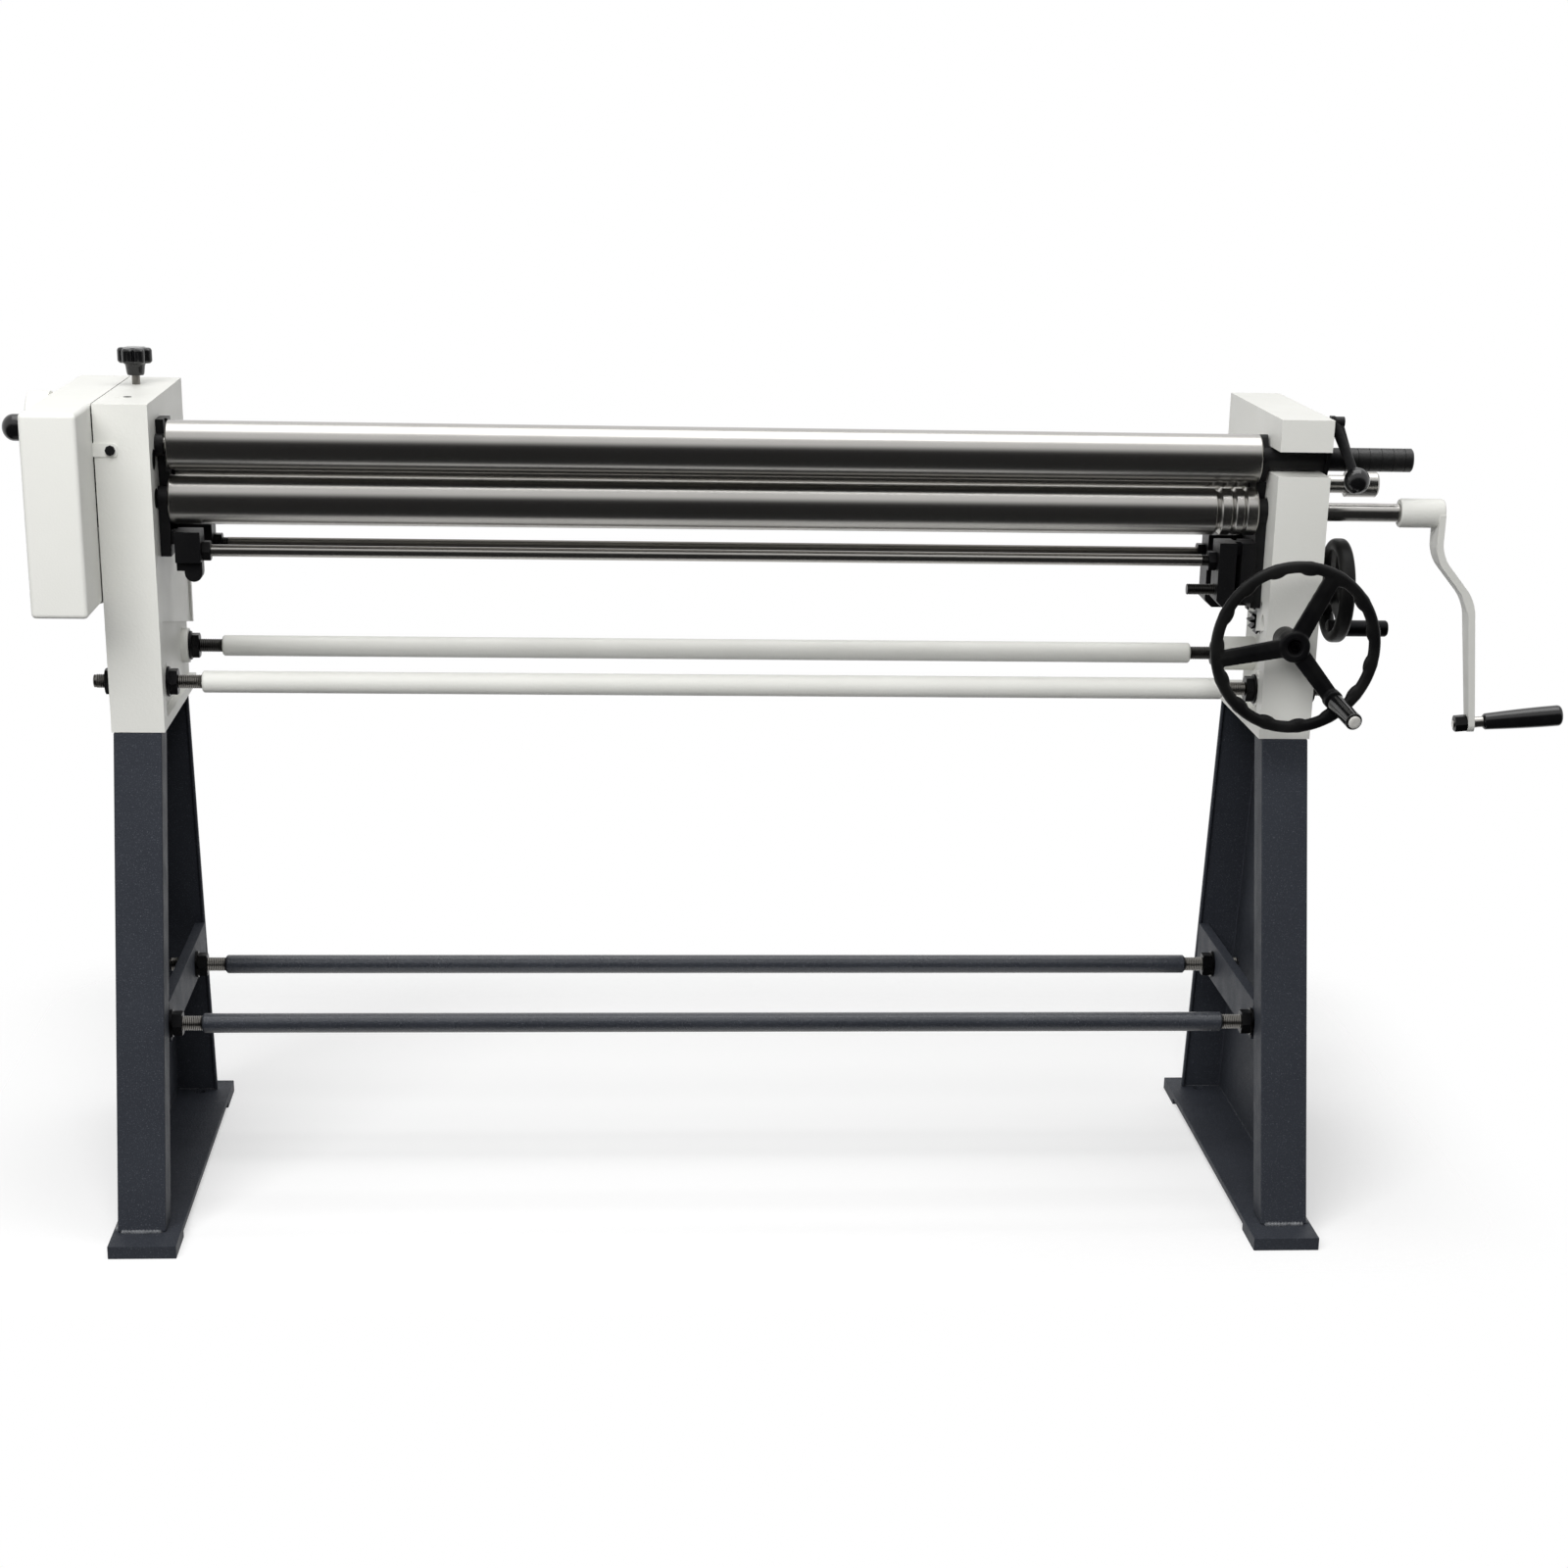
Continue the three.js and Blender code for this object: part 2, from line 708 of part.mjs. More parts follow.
// Carriages slide along X, with a tongue and a cross pin that reach into the bearing block
function carriage(side, lift, { span, foot, chamfered, barZ, extras = [] }) {
  const outer = side * span.outer;
  const inner = side * span.inner;
  const y0 = lift.y - carriageHalfDepth;
  const y1 = lift.y + carriageHalfDepth;
  const bevel = chamfered ? carriageChamfer : 2 * runClear;
  const body = push('y', outline([
    [outer, foot], [inner + side * bevel, foot], [inner, foot + bevel],
    [inner, carriageTopZ], [outer, carriageTopZ],
  ]), y0, y1);
  const pinX = liftPinX(side, lift);
  const tongue = box(outer - side * runClear, pinX + side * tongueEnd, lift.y - tongueHalfWidth,
    lift.y + tongueHalfWidth, liftPinZ - tongueHalfHeight, liftPinZ + tongueHalfHeight);
  const pinHalf = liftPocketHalf - 2 * runClear;
  const pin = rod('y', liftPinRadius, lift.y - pinHalf, lift.y + pinHalf, pinX, liftPinZ, smallSides);
  const barBore = rod('x', barRadius + seat, inner - side * overrun, outer - side * barPocket, lift.y, barZ);
  return cut(join(body, tongue, pin, ...extras), barBore);
}

function frontLeftCarriage() {
  const lugX = -(leftFront.inner + lugRadius);
  const shape = capsule([lugX, shortCarriageFootZ + runClear], [lugX, lugBottomZ + lugRadius], lugRadius);
  const half = carriageHalfDepth / 2;
  const lug = push('y', shape, rollLineY - half, rollLineY + half);
  const step = box(-leftFront.outer, lugX, rollLineY - half, rollLineY + half,
    lugStepZ, shortCarriageFootZ + runClear);
  return carriage(-1, frontLift, {
    span: leftFront, foot: shortCarriageFootZ, chamfered: false, barZ: frontBarZ, extras: [lug, step],
  });
}

function frontRightCarriage() {
  const body = carriage(1, frontLift, {
    span: rightFront, foot: frontCarriageFootZ, chamfered: true, barZ: frontBarZ,
  });
  const from = rightFront.inner - overrun;
  return cut(body, rod('x', screwRadius + runClear, from, rightFront.outer + overrun, rollLineY, sideWheelZ));
}

const rackRootZ = frontWheelZ + pinionPitchRadius + toothDedendum;

function rackOutline() {
  const pitch = (2 * halfTurn * pinionPitchRadius) / pinionTeeth;
  const tipZ = frontWheelZ + pinionPitchRadius - toothAddendum;
  const points = [];
  for (let i = -rackTeethBefore; i < rackTeethAfter; i += 1) {
    const x = frontWheelX + (i + 0.5) * pitch;
    points.push([x - toothRootHalf, rackRootZ], [x - toothTipHalf, tipZ]);
    points.push([x + toothTipHalf, tipZ], [x + toothRootHalf, rackRootZ]);
  }
  const start = rightRear.outer - runClear;
  const end = frontWheelX + rackReach;
  return outline([
    [start, rackRootZ], ...points, [end, rackRootZ], [end, rackRootZ + rackBack], [start, rackRootZ + rackBack],
  ]);
}

function rearRightCarriage() {
  const rack = push('y', rackOutline(), rearRollY - rackHalfWidth, rearRollY + rackHalfWidth);
  return carriage(1, rearLift, {
    span: rightRear, foot: rackRootZ, chamfered: true, barZ: rearBarZ, extras: [rack],
  });
}

function rearLeftCarriage() {
  return carriage(-1, rearLift, {
    span: leftRear, foot: shortCarriageFootZ, chamfered: false, barZ: rearBarZ,
  });
}

// Bars that make both ends of a roll rise together, with a lock nut against each carriage
function syncBar(y, z, left, right) {
  const ends = [barPocket + seat - left.outer, right.outer - barPocket - seat];
  let bar = rod('x', barRadius, ends[0], ends[1], y, z);
  const nut = hexagon(barNutAcross, y, z);
  const leftFace = seat - left.inner;
  const rightFace = right.inner - seat;
  bar = join(bar, push('x', nut, leftFace, leftFace + barNutLength));
  return join(bar, push('x', nut, rightFace, rightFace - barNutLength));
}

// Rolls
function grooveProfile() {
  const points = [];
  for (let i = grooveSteps.length - 1; i >= 0; i -= 1) {
    const middle = rollEnd - grooveSteps[i];
    const half = grooveWidths[i] / 2;
    points.push([rollRadius, middle - half], [rollRadius - half, middle], [rollRadius, middle + half]);
  }
  return points;
}

function rollBody(grooved) {
  const middle = grooved ? grooveProfile() : [];
  return [
    [rollRadius - rollEdge, -rollEnd], [rollRadius, -rollEnd + rollEdge], ...middle,
    [rollRadius, rollEnd - rollEdge], [rollRadius - rollEdge, rollEnd],
  ];
}

function roll(journal, leftReach, rightEnd, grooved, y, z) {
  const profile = [
    [0, -leftReach], [journal - journalChamfer / 2, -leftReach], [journal, -leftReach + journalChamfer / 2],
    [journal, -rollEnd], ...rollBody(grooved), [journal, rollEnd], ...rightEnd,
  ];
  return turned('x', profile, y, z, fineSides);
}

const gearReach = gearInner + gearWidth + gearStubLength;

function topRoll() {
  const end = outerFace - sleeveWallEnd;
  return roll(topJournalRadius, gearReach, [[topJournalRadius, end], [0, end]], false, rollLineY, topRollZ);
}

function lowerRoll() {
  const end = crankHubEnd - crankHubWall - seat;
  const tail = [[lowerJournalRadius, end], [0, end]];
  return roll(lowerJournalRadius, gearReach, tail, true, rollLineY, lowerRollZ);
}

function rearRoll() {
  const end = rollEnd + rearJournalReach;
  const collar = end - rearCollarLength;
  const tail = [
    [rearJournalRadius, collar], [rearCollarRadius, collar], [rearCollarRadius, end - journalChamfer],
    [rearCollarRadius - journalChamfer, end], [0, end],
  ];
  return roll(rearJournalRadius, outerFace + gearOffset, tail, true, rearRollY, rearRollZ);
}

// Swinging end bearings of the top roll
function swivelBush() {
  const barrel = rod('z', bushRadius, topRollZ - bushHalfHeight, topRollZ + bushHalfHeight,
    swingX, rollLineY, fineSides);
  const reach = bushRadius + overrun;
  const bore = rod('x', topJournalRadius + runClear, swingX - reach, swingX + reach, rollLineY, topRollZ);
  return cut(barrel, bore);
}

function innerFlange() {
  const shape = new THREE.Shape();
  const front = rollLineY - innerFlangeHalf;
  const back = rollLineY + innerFlangeBack;
  const top = topRollZ + innerFlangeTop;
  const foot = topRollZ - innerFlangeDrop;
  const waist = topRollZ - sleeveRadius;
  shape.moveTo(rollLineY, foot);
  shape.lineTo(back, foot);
  shape.lineTo(back, top - innerFlangeHalf);
  shape.quadraticCurveTo(back, top, back - innerFlangeHalf, top);
  shape.quadraticCurveTo(rollLineY, top, rollLineY - plateWaistSet, topRollZ + sleeveRadius);
  shape.quadraticCurveTo(front, topRollZ + sleeveRadius / 2, front, topRollZ);
  shape.quadraticCurveTo(front, waist, rollLineY, foot);
  return push('x', shape, plateInner + runClear, plateInner + runClear + innerFlangeWidth);
}

const outerFlangeStart = outerFace + outerFlangeGap;
const outerFlangeEnd = outerFlangeStart + outerFlangeWidth;
const gripFace = outerFlangeEnd + gripCollarLength;

function outerFlange() {
  const foot = topRollZ - outerFlangeDrop;
  const top = topRollZ + outerFlangeRise;
  const shoulder = topRollZ + sleeveRadius;
  const shape = outline([
    [rollLineY - earHalf / 2, foot], [rollLineY + outerFlangeHalf, topRollZ - sleeveRadius],
    [rollLineY + outerFlangeHalf, shoulder], [leverPivotY + earHalf, top - earHalf],
    [leverPivotY + earHalf / 2, top], [leverPivotY - earHalf / 2, top], [leverPivotY - earHalf, top - earHalf],
    [rollLineY - outerFlangeHalf, topRollZ],
  ]);
  return push('x', shape, outerFlangeStart, outerFlangeEnd);
}

function rightBearing() {
  const start = plateInner + runClear;
  const sleeve = turned('x', [
    [0, start], [sleeveRadius, start], [sleeveRadius, gripFace], [gripStubRadius, gripFace],
    [gripStubRadius, gripFace + rollGripLength - gripWallEnd - overrun],
    [0, gripFace + rollGripLength - gripWallEnd - overrun],
  ], rollLineY, topRollZ, fineSides);
  const bore = rod('x', topJournalRadius + runClear, start - overrun, outerFace - sleeveWallEnd + 2 * runClear,
    rollLineY, topRollZ);
  const pivotZ = topRollZ + leverPivotRise;
  const pivotHole = rod('x', leverPinRadius + seat, outerFlangeStart - overrun, outerFlangeEnd + overrun,
    leverPivotY, pivotZ, smallSides);
  return cut(join(sleeve, innerFlange(), outerFlange()), bore, pivotHole);
}

function rollGrip() {
  const start = gripFace + seat;
  const end = start + rollGripLength;
  const profile = [[0, start], [rollGripRadius - gripRingDepth, start]];
  const rings = Math.floor(rollGripLength / gripRingPitch) - 1;
  for (let i = 0; i < rings; i += 1) {
    const place = start + (i + 0.5) * gripRingPitch;
    profile.push([rollGripRadius, place + gripRingDepth]);
    profile.push([rollGripRadius, place + gripRingPitch - 2 * gripRingDepth]);
    profile.push([rollGripRadius - gripRingDepth, place + gripRingPitch - gripRingDepth]);
  }
  profile.push([rollGripRadius, end - gripRingPitch / 2], [rollGripRadius, end - 2 * gripRingDepth]);
  profile.push([rollGripRadius - 2 * gripRingDepth, end], [0, end]);
  const body = turned('x', profile, rollLineY, topRollZ, midSides);
  const bore = rod('x', gripStubRadius + seat, start - overrun, end - gripWallEnd, rollLineY, topRollZ);
  return cut(body, bore);
}

// The clamp lever turns on a pin in the outer flange's ear
const leverX = outerFlangeEnd + seat;
const leverPivotZ = topRollZ + leverPivotRise;

function taperedRod(start, end, startRadius, endRadius, sides = smallSides) {
  const line = new THREE.Vector3().subVectors(end, start);
  const geometry = new THREE.CylinderGeometry(endRadius, startRadius, line.length(), sides);
  geometry.translate(0, line.length() / 2, 0);
  const turn = new THREE.Quaternion().setFromUnitVectors(new THREE.Vector3(0, 1, 0), line.clone().normalize());
  geometry.applyQuaternion(turn);
  geometry.translate(start.x, start.y, start.z);
  return solid(geometry);
}

const ballCentre = new THREE.Vector3(leverX + ballStep, ballY, topRollZ - ballDrop);

function lockLever() {
  const middle = leverX + leverBossWidth / 2;
  const boss = rod('x', leverBossRadius, leverX, leverX + leverBossWidth, leverPivotY, leverPivotZ, smallSides);
  const pin = rod('x', leverPinRadius, outerFlangeStart + seat, leverX + overrun, leverPivotY, leverPivotZ,
    smallSides);
  const start = new THREE.Vector3(middle, leverPivotY, leverPivotZ);
  return join(boss, pin, taperedRod(start, ballCentre, leverRodRadius, leverTipRadius));
}

function lockBall() {
  const geometry = new THREE.SphereGeometry(ballRadius, midSides, smallSides);
  geometry.translate(ballCentre.x, ballCentre.y, ballCentre.z);
  const start = new THREE.Vector3(leverX + leverBossWidth / 2, leverPivotY, leverPivotZ);
  const along = new THREE.Vector3().subVectors(ballCentre, start).normalize();
  const far = ballCentre.clone().addScaledVector(along, seat);
  const bore = taperedRod(start, far, leverRodRadius + seat, leverTipRadius + seat);
  return cut(solid(geometry), bore);
}

// Gears
function toothedOutline(teeth, rootRadius, tipRadius, rootHalf, tipHalf, firstAngle) {
  const points = [];
  for (let i = 0; i < teeth; i += 1) {
    const angle = firstAngle + (2 * halfTurn * i) / teeth;
    const corners = [
      [rootRadius, -rootHalf / rootRadius], [tipRadius, -tipHalf / tipRadius],
      [tipRadius, tipHalf / tipRadius], [rootRadius, rootHalf / rootRadius],
    ];
    for (const [radius, turn] of corners) {
      points.push([radius * Math.cos(angle + turn), radius * Math.sin(angle + turn)]);
    }
  }
  return points;
}

// The top gear sits half a gear shift off centre, because the swing moves it to the back
const gearSwingReach = gearInner + gearWidth / 2 + swingX;
const gearSwingBias = (gearSwingReach * Math.sin(swingTravel)) / 2 / (gearTipRadius - overrun);

function rollGear(z, journal, firstAngle) {
  const teeth = toothedOutline(gearTeeth, gearRootRadius, gearTipRadius, gearRootHalf, gearTipHalf, firstAngle);
  const shape = outline(teeth.map(([a, b]) => [rollLineY + a, z + b]));
  const wheel = push('x', shape, -gearInner, -(gearInner + gearWidth));
  const bore = rod('x', journal + seat, -(gearInner - overrun), -(gearInner + gearWidth + overrun),
    rollLineY, z);
  return cut(wheel, bore);
}

// Gear cover: a sheet box, open towards the head, with a return wall in front of it and a strap with a screw
function gearCover() {
  const inner = -(outerFace + seat);
  const outer = -coverOuter;
  const shell = box(inner, outer, coverFrontY, coverBackY, coverFootZ, headTopZ);
  const hollow = box(inner - coverWall, outer + coverWall, coverFrontY + coverWall, coverBackY - coverWall,
    coverFootZ + coverWall, headTopZ - coverWall);
  const mouth = box(inner + overrun, inner - coverWall - seat, 0, coverBackY - coverWall,
    coverFootZ + coverWall, headTopZ - coverWall);
  const boss = rod('x', bossRadius, outer + seat, outer - bossHeight, bossY, bossZ, fineSides);
  const knobHole = rod('x', coverKnobStem + seat, outer - bossHeight - overrun, outer - coverWall,
    bossY, bossZ, smallSides);
  const strapX = inner + strapReach + seat;
  const strapShape = capsule([inner - coverWall, strapZ], [strapX, strapZ], strapHalf);
  const strap = push('y', strapShape, -coverWall - seat, -seat);
  const keepStrap = box(inner - coverWall, strapX + 2 * strapHalf, -coverWall - seat, -seat,
    strapZ - strapHalf, strapZ + strapHalf);
  const screwHole = rod('y', strapScrewShank + seat, -coverWall - overrun, overrun, strapX, strapZ, smallSides);
  return cut(join(cut(shell, hollow, mouth), boss, strap.intersect(keepStrap)), knobHole, screwHole);
}

function coverKnob() {
  const base = -(coverOuter + bossHeight + seat);
  const tip = base - coverKnobLength;
  const profile = [[0, tip]];
  const steps = 6;
  for (let i = 1; i <= steps; i += 1) {
    const angle = (quarterTurn * i) / steps;
    const place = tip + (coverKnobLength * 2 / 3) * (1 - Math.cos(angle));
    profile.push([coverKnobRadius * Math.sin(angle), place]);
  }
  profile.push([coverKnobRadius, base - coverKnobLength / 8], [coverKnobRadius * 0.8, base]);
  profile.push([coverKnobStem, base], [coverKnobStem, base + bossHeight / 2], [0, base + bossHeight / 2]);
  return turned('x', profile, bossY, bossZ, midSides);
}

function strapScrew() {
  const x = -(outerFace + seat) + strapReach + seat;
  const face = -coverWall - 2 * seat;
  return turned('y', [
    [0, face - strapScrewHead], [strapScrewRadius - runClear, face - strapScrewHead],
    [strapScrewRadius, face - strapScrewHead + runClear], [strapScrewRadius, face], [strapScrewShank, face],
    [strapScrewShank, -seat], [0, -seat],
  ], x, strapZ, midSides - 8);
}

// Star knob
function starKnob() {
  const stemFoot = headTopZ - starStemDepth;
  const hubFoot = headTopZ + starStemShow;
  const headFoot = hubFoot + starHubHeight;
  const top = headFoot + starHeadHeight;
  const core = turned('z', [
    [0, stemFoot], [starStemRadius, stemFoot], [starStemRadius, hubFoot], [starHubNeck, hubFoot],
    [starHubRadius, headFoot], [starHubRadius, headFoot + seat], [0, headFoot + seat],
  ], swingX, starY, smallSides);
  const points = [];
  const steps = starLobes * 5;
  for (let i = 0; i < steps; i += 1) {
    const angle = (2 * halfTurn * i) / steps;
    const radius = starRadius - (starLobeDepth / 2) * (1 - Math.cos(starLobes * angle));
    points.push([swingX + radius * Math.cos(angle), starY + radius * Math.sin(angle)]);
  }
  const dome = turned('z', [
    [0, headFoot], [starRadius, headFoot], [starRadius, top - starHeadHeight / 4],
    [starRadius - starLobeDepth, top - starHeadHeight / 12], [starRadius / 2, top], [0, top],
  ], swingX, starY, midSides);
  return join(core, push('z', outline(points), headFoot, top).intersect(dome));
}

// Tie rods and their nuts
function tieRod({ y, z }) {
  const end = outerFace + tieStub;
  const neck = innerFace - tieNeckInset;
  return turned('x', [
    [0, -end], [tieNeckRadius - journalChamfer, -end], [tieNeckRadius, -end + journalChamfer],
    [tieNeckRadius, -neck - journalChamfer], [tieRadius, -neck], [tieRadius, neck],
    [tieNeckRadius, neck + journalChamfer], [tieNeckRadius, end - journalChamfer],
    [tieNeckRadius - journalChamfer, end], [0, end],
  ], y, z, midSides);
}

function tieNut(face, direction, nutLength, { y, z }) {
  const washerEnd = face + direction * (seat + tieWasherThickness);
  const nutEnd = washerEnd + direction * nutLength;
  const disc = rod('x', tieWasherRadius, face + direction * seat, washerEnd, y, z);
  const nut = push('x', hexagon(tieNutAcross, y, z), washerEnd, nutEnd);
  const hole = rod('x', tieNeckRadius + seat, face - direction * overrun, nutEnd + direction * overrun, y, z);
  return cut(join(disc, nut), hole);
}

// Stand sides: a folded tray with its closed side outboard
const standTopZ = headFootZ - seat;
const footTopZ = 2 * footThickness;
const legFrontY = (z) => (standFootFrontY * (standTopZ - z)) / (standTopZ - footTopZ);
function legBackY(z) {
  const spread = standFootBackY - standTopBackY;
  return standTopBackY + (spread * (standTopZ - z)) / (standTopZ - footTopZ);
}

function standOutline(frontInset, backInset, topInset, footInset) {
  const top = standTopZ - topInset;
  const foot = footTopZ + seat - footInset;
  return outline([
    [legFrontY(foot) + frontInset, foot], [legBackY(foot) - backInset, foot],
    [legBackY(top) - backInset, top], [legFrontY(top) + frontInset, top],
  ]);
}

function standSide(side) {
  const tray = push('x', standOutline(0, 0, 0, 0), side * standInner, side * standOuter);
  const room = push('x', standOutline(standWall, standWall, standWall, overrun),
    side * (standInner + standWall), side * (standOuter - standWall));
  const mouth = push('x', standOutline(legLip, rearLip, standWall, overrun),
    side * (standInner - overrun), side * (standInner + 2 * standWall));
  return cut(tray, room, mouth);
}

function foot(side) {
  const inner = side * (innerFace - footInboard);
  const outer = side * (outerFace + footOutboard);
  let plate = box(inner, outer, footFrontY, footBackY, footThickness, footTopZ);
  const pads = [[footFrontY, footFrontY + footPadLength], [footBackY - footPadLength, footBackY]];
  for (const [y0, y1] of pads) {
    plate = join(plate, box(inner, outer, y0, y1, 0, footThickness + seat));
  }
  for (const y of [footFrontY + footHoleInset, footBackY - footHoleInset]) {
    const x = (inner + outer) / 2;
    plate = cut(plate, rod('z', footHoleRadius, -overrun, footTopZ + overrun, x, y, smallSides));
  }
  return plate;
}

// Angle brace across the mouth of each stand side, which carries the lower tie rods
function brace(side) {
  const web = side * standInner;
  const webBack = side * (standInner + braceWall);
  const low = braceTopZ - braceHeight;
  const front = legFrontY(braceTopZ) + legLip + seat;
  const back = legBackY(braceTopZ) - rearLip - seat;
  const face = box(web, webBack, front, back, low, braceTopZ);
  const flange = box(web, side * (standInner + braceFlange), front, back, braceTopZ - braceWall, braceTopZ);
  let angle = join(face, flange);
  for (const y of [standRodFrontY, standRodBackY]) {
    angle = cut(angle, rod('x', standNeckRadius + seat, side * (standInner - overrun),
      side * (standInner + 2 * braceWall), y, standRodZ));
  }
  return angle;
}

function standRod(y) {
  const end = standInner + standRodStub;
  const neck = standInner - standNeckInset;
  const bar = turned('x', [
    [0, -end], [standNeckRadius, -end], [standNeckRadius, -neck - journalChamfer / 2],
    [standRodRadius, -neck], [standRodRadius, neck], [standNeckRadius, neck + journalChamfer / 2],
    [standNeckRadius, end], [0, end],
  ], y, standRodZ, midSides);
  let result = bar;
  for (const side of [-1, 1]) {
    const inner = side * (standInner - seat);
    const washerEnd = inner - side * standWasherThickness;
    const nut = push('x', hexagon(standNutAcross, y, standRodZ), washerEnd, washerEnd - side * standNutLength);
    const outer = side * (standInner + braceWall + seat);
    const backNut = push('x', hexagon(standNutAcross, y, standRodZ), outer, outer + side * standNutLength);
    result = join(result, rod('x', standWasherRadius, inner, washerEnd, y, standRodZ), nut, backNut);
  }
  return result;
}

// Handwheels are built face on, in the XY plane with the operator at +Z, and then turned to their axes
function waveRim(radius, depth, width, waves, waveDepth) {
  const shape = new THREE.Shape();
  shape.absarc(0, 0, radius - rimBevel, 0, 2 * halfTurn, false);
  const inside = [];
  const steps = waveDepth ? waves * 4 : rimSides;
  for (let i = 0; i < steps; i += 1) {
    const angle = (2 * halfTurn * i) / steps;
    const reach = radius - depth + rimBevel + waveDepth * Math.cos(waves * angle);
    inside.push(new THREE.Vector2(reach * Math.cos(angle), reach * Math.sin(angle)));
  }
  shape.holes.push(new THREE.Path(inside));
  const geometry = new THREE.ExtrudeGeometry(shape, {
    depth: width - 2 * rimBevel, curveSegments: rimSides / 2, bevelEnabled: true,
    bevelSize: rimBevel, bevelThickness: rimBevel, bevelSegments: 1,
  });
  geometry.translate(0, 0, rimBevel - width / 2);
  return solid(geometry);
}

// A spoke is flat behind and ridged in front, and leans forward from the hub to the rim
function spoke(angle, reach, width, dish) {
  const shape = outline([
    [-width / 2, -spokeBack], [width / 2, -spokeBack], [width / 2, 0], [0, spokeRidge], [-width / 2, 0],
  ]);
  const geometry = new THREE.ExtrudeGeometry(shape, { depth: reach, bevelEnabled: false });
  geometry.rotateX(quarterTurn - Math.atan2(dish, reach));
  geometry.translate(0, 0, -dish);
  geometry.rotateZ(THREE.MathUtils.degToRad(angle) + quarterTurn);
  return solid(geometry);
}

function wheel(sizes) {
  const { radius, depth, width, waveDepth, angles, spokeAcross, dish } = sizes;
  const { hub, front, back, neck, bore, pinHole } = sizes;
  let body = waveRim(radius, depth, width, rimWaves, waveDepth);
  for (const angle of angles) {
    body = join(body, spoke(angle, radius - depth / 2, spokeAcross, dish));
  }
  body = join(body, turned('z', [
    [0, -back], [neck, -back], [neck, front - hubLength - rimBevel], [hub, front - hubLength],
    [hub, front - rimBevel], [hub - rimBevel, front], [0, front],
  ], 0, 0, midSides));
  body = cut(body, rod('z', bore + seat, -back - overrun, front - hubSocketDepth - overrun, 0, 0));
  return cut(body, pinHole);
}

const polar = (angle, radius) => [
  radius * Math.cos(THREE.MathUtils.degToRad(angle)), radius * Math.sin(THREE.MathUtils.degToRad(angle)),
];

// Front handwheel group: its local +Z points at the operator, towards -Y
const frontWheel = new THREE.Group();
frontWheel.position.set(frontWheelX, frontWheelY, frontWheelZ);
frontWheel.rotation.set(quarterTurn, 0, 0);
root.add(frontWheel);
const frontGripSpot = polar(frontGripAngle, frontGripSet);
const frontHubBack = -frontWheelY - 2 * seat;

// The handle leans outward along its spoke
function leaning(shape) {
  const turn = new THREE.Matrix4().makeRotationY(frontGripSplay);
  turn.premultiply(new THREE.Matrix4().makeRotationZ(THREE.MathUtils.degToRad(frontGripAngle)));
  turn.setPosition(...frontGripSpot, 0);
  return shape.transform(turn.elements);
}

function frontHandwheel() {
  const body = wheel({
    radius: frontWheelRadius, depth: frontRimDepth, width: frontRimWidth, waveDepth: rimWaveDepth,
    angles: frontSpokeAngles, spokeAcross: spokeWidth, dish: spokeDish, hub: frontHubRadius,
    front: frontHubFront, back: frontHubBack, neck: frontHubNeckRadius, bore: frontShaftRadius,
    pinHole: leaning(rod('z', gripScrewRadius + seat, -frontRimWidth, frontRimWidth, 0, 0, smallSides)),
  });
  const socket = rod('z', hubSocketRadius, frontHubFront - hubSocketDepth, frontHubFront + overrun, 0, 0);
  const foot = frontHubFront - hubSocketDepth - seat;
  const screw = rod('z', hubScrewRadius, foot, foot + hubScrewHeight, 0, 0, smallSides);
  return join(cut(body, socket), screw);
}

function wheelGrip(length, neck, radius, bore, face) {
  const body = turned('z', [
    [0, face], [neck, face], [neck, face + length / 10], [radius, face + length / 4],
    [radius, face + length - rimBevel], [radius - rimBevel, face + length], [0, face + length],
  ], 0, 0, midSides);
  return cut(body, rod('z', bore + seat, face - overrun, face + length + overrun, 0, 0, smallSides));
}

const frontGripFace = spokeRidge + frontGripStandOff;

function gripScrew() {
  const end = frontGripFace + frontGripLength + seat;
  return turned('z', [
    [0, -frontRimWidth / 2], [gripScrewRadius, -frontRimWidth / 2], [gripScrewRadius, end],
    [gripScrewHeadRadius, end], [gripScrewHeadRadius, end + gripScrewHeadHeight / 2],
    [gripScrewHeadRadius / 2, end + gripScrewHeadHeight], [0, end + gripScrewHeadHeight],
  ], 0, 0, smallSides);
}

node('front_handwheel', frontHandwheel(), castBlack, frontWheel);
const frontGripShape = wheelGrip(
  frontGripLength, frontGripNeck, frontGripRadius, gripScrewRadius, frontGripFace,
);
node('front_wheel_grip', leaning(frontGripShape), plasticBlack, frontWheel);
node('front_grip_screw', leaning(gripScrew()), plainSteel, frontWheel);

function wheelShaft() {
  const front = frontWheelY - frontHubFront + hubSocketDepth + overrun + seat;
  const back = rearRollY + pinionHalfWidth;
  return rod('y', frontShaftRadius, front, back, frontWheelX, frontWheelZ);
}

function drivePinion() {
  const teeth = toothedOutline(pinionTeeth, pinionPitchRadius - toothDedendum, pinionPitchRadius + toothAddendum,
    toothRootHalf, toothTipHalf, quarterTurn);
  const shape = outline(teeth.map(([a, b]) => [frontWheelX + a, frontWheelZ + b]));
  const y0 = rearRollY - pinionHalfWidth + runClear;
  const y1 = rearRollY + pinionHalfWidth;
  const bore = rod('y', frontShaftRadius + seat, y0 - overrun, y1 + overrun, frontWheelX, frontWheelZ);
  return cut(push('y', shape, y0, y1), bore);
}

node('front_wheel_shaft', wheelShaft(), plainSteel);
node('drive_pinion', drivePinion(), darkSteel);

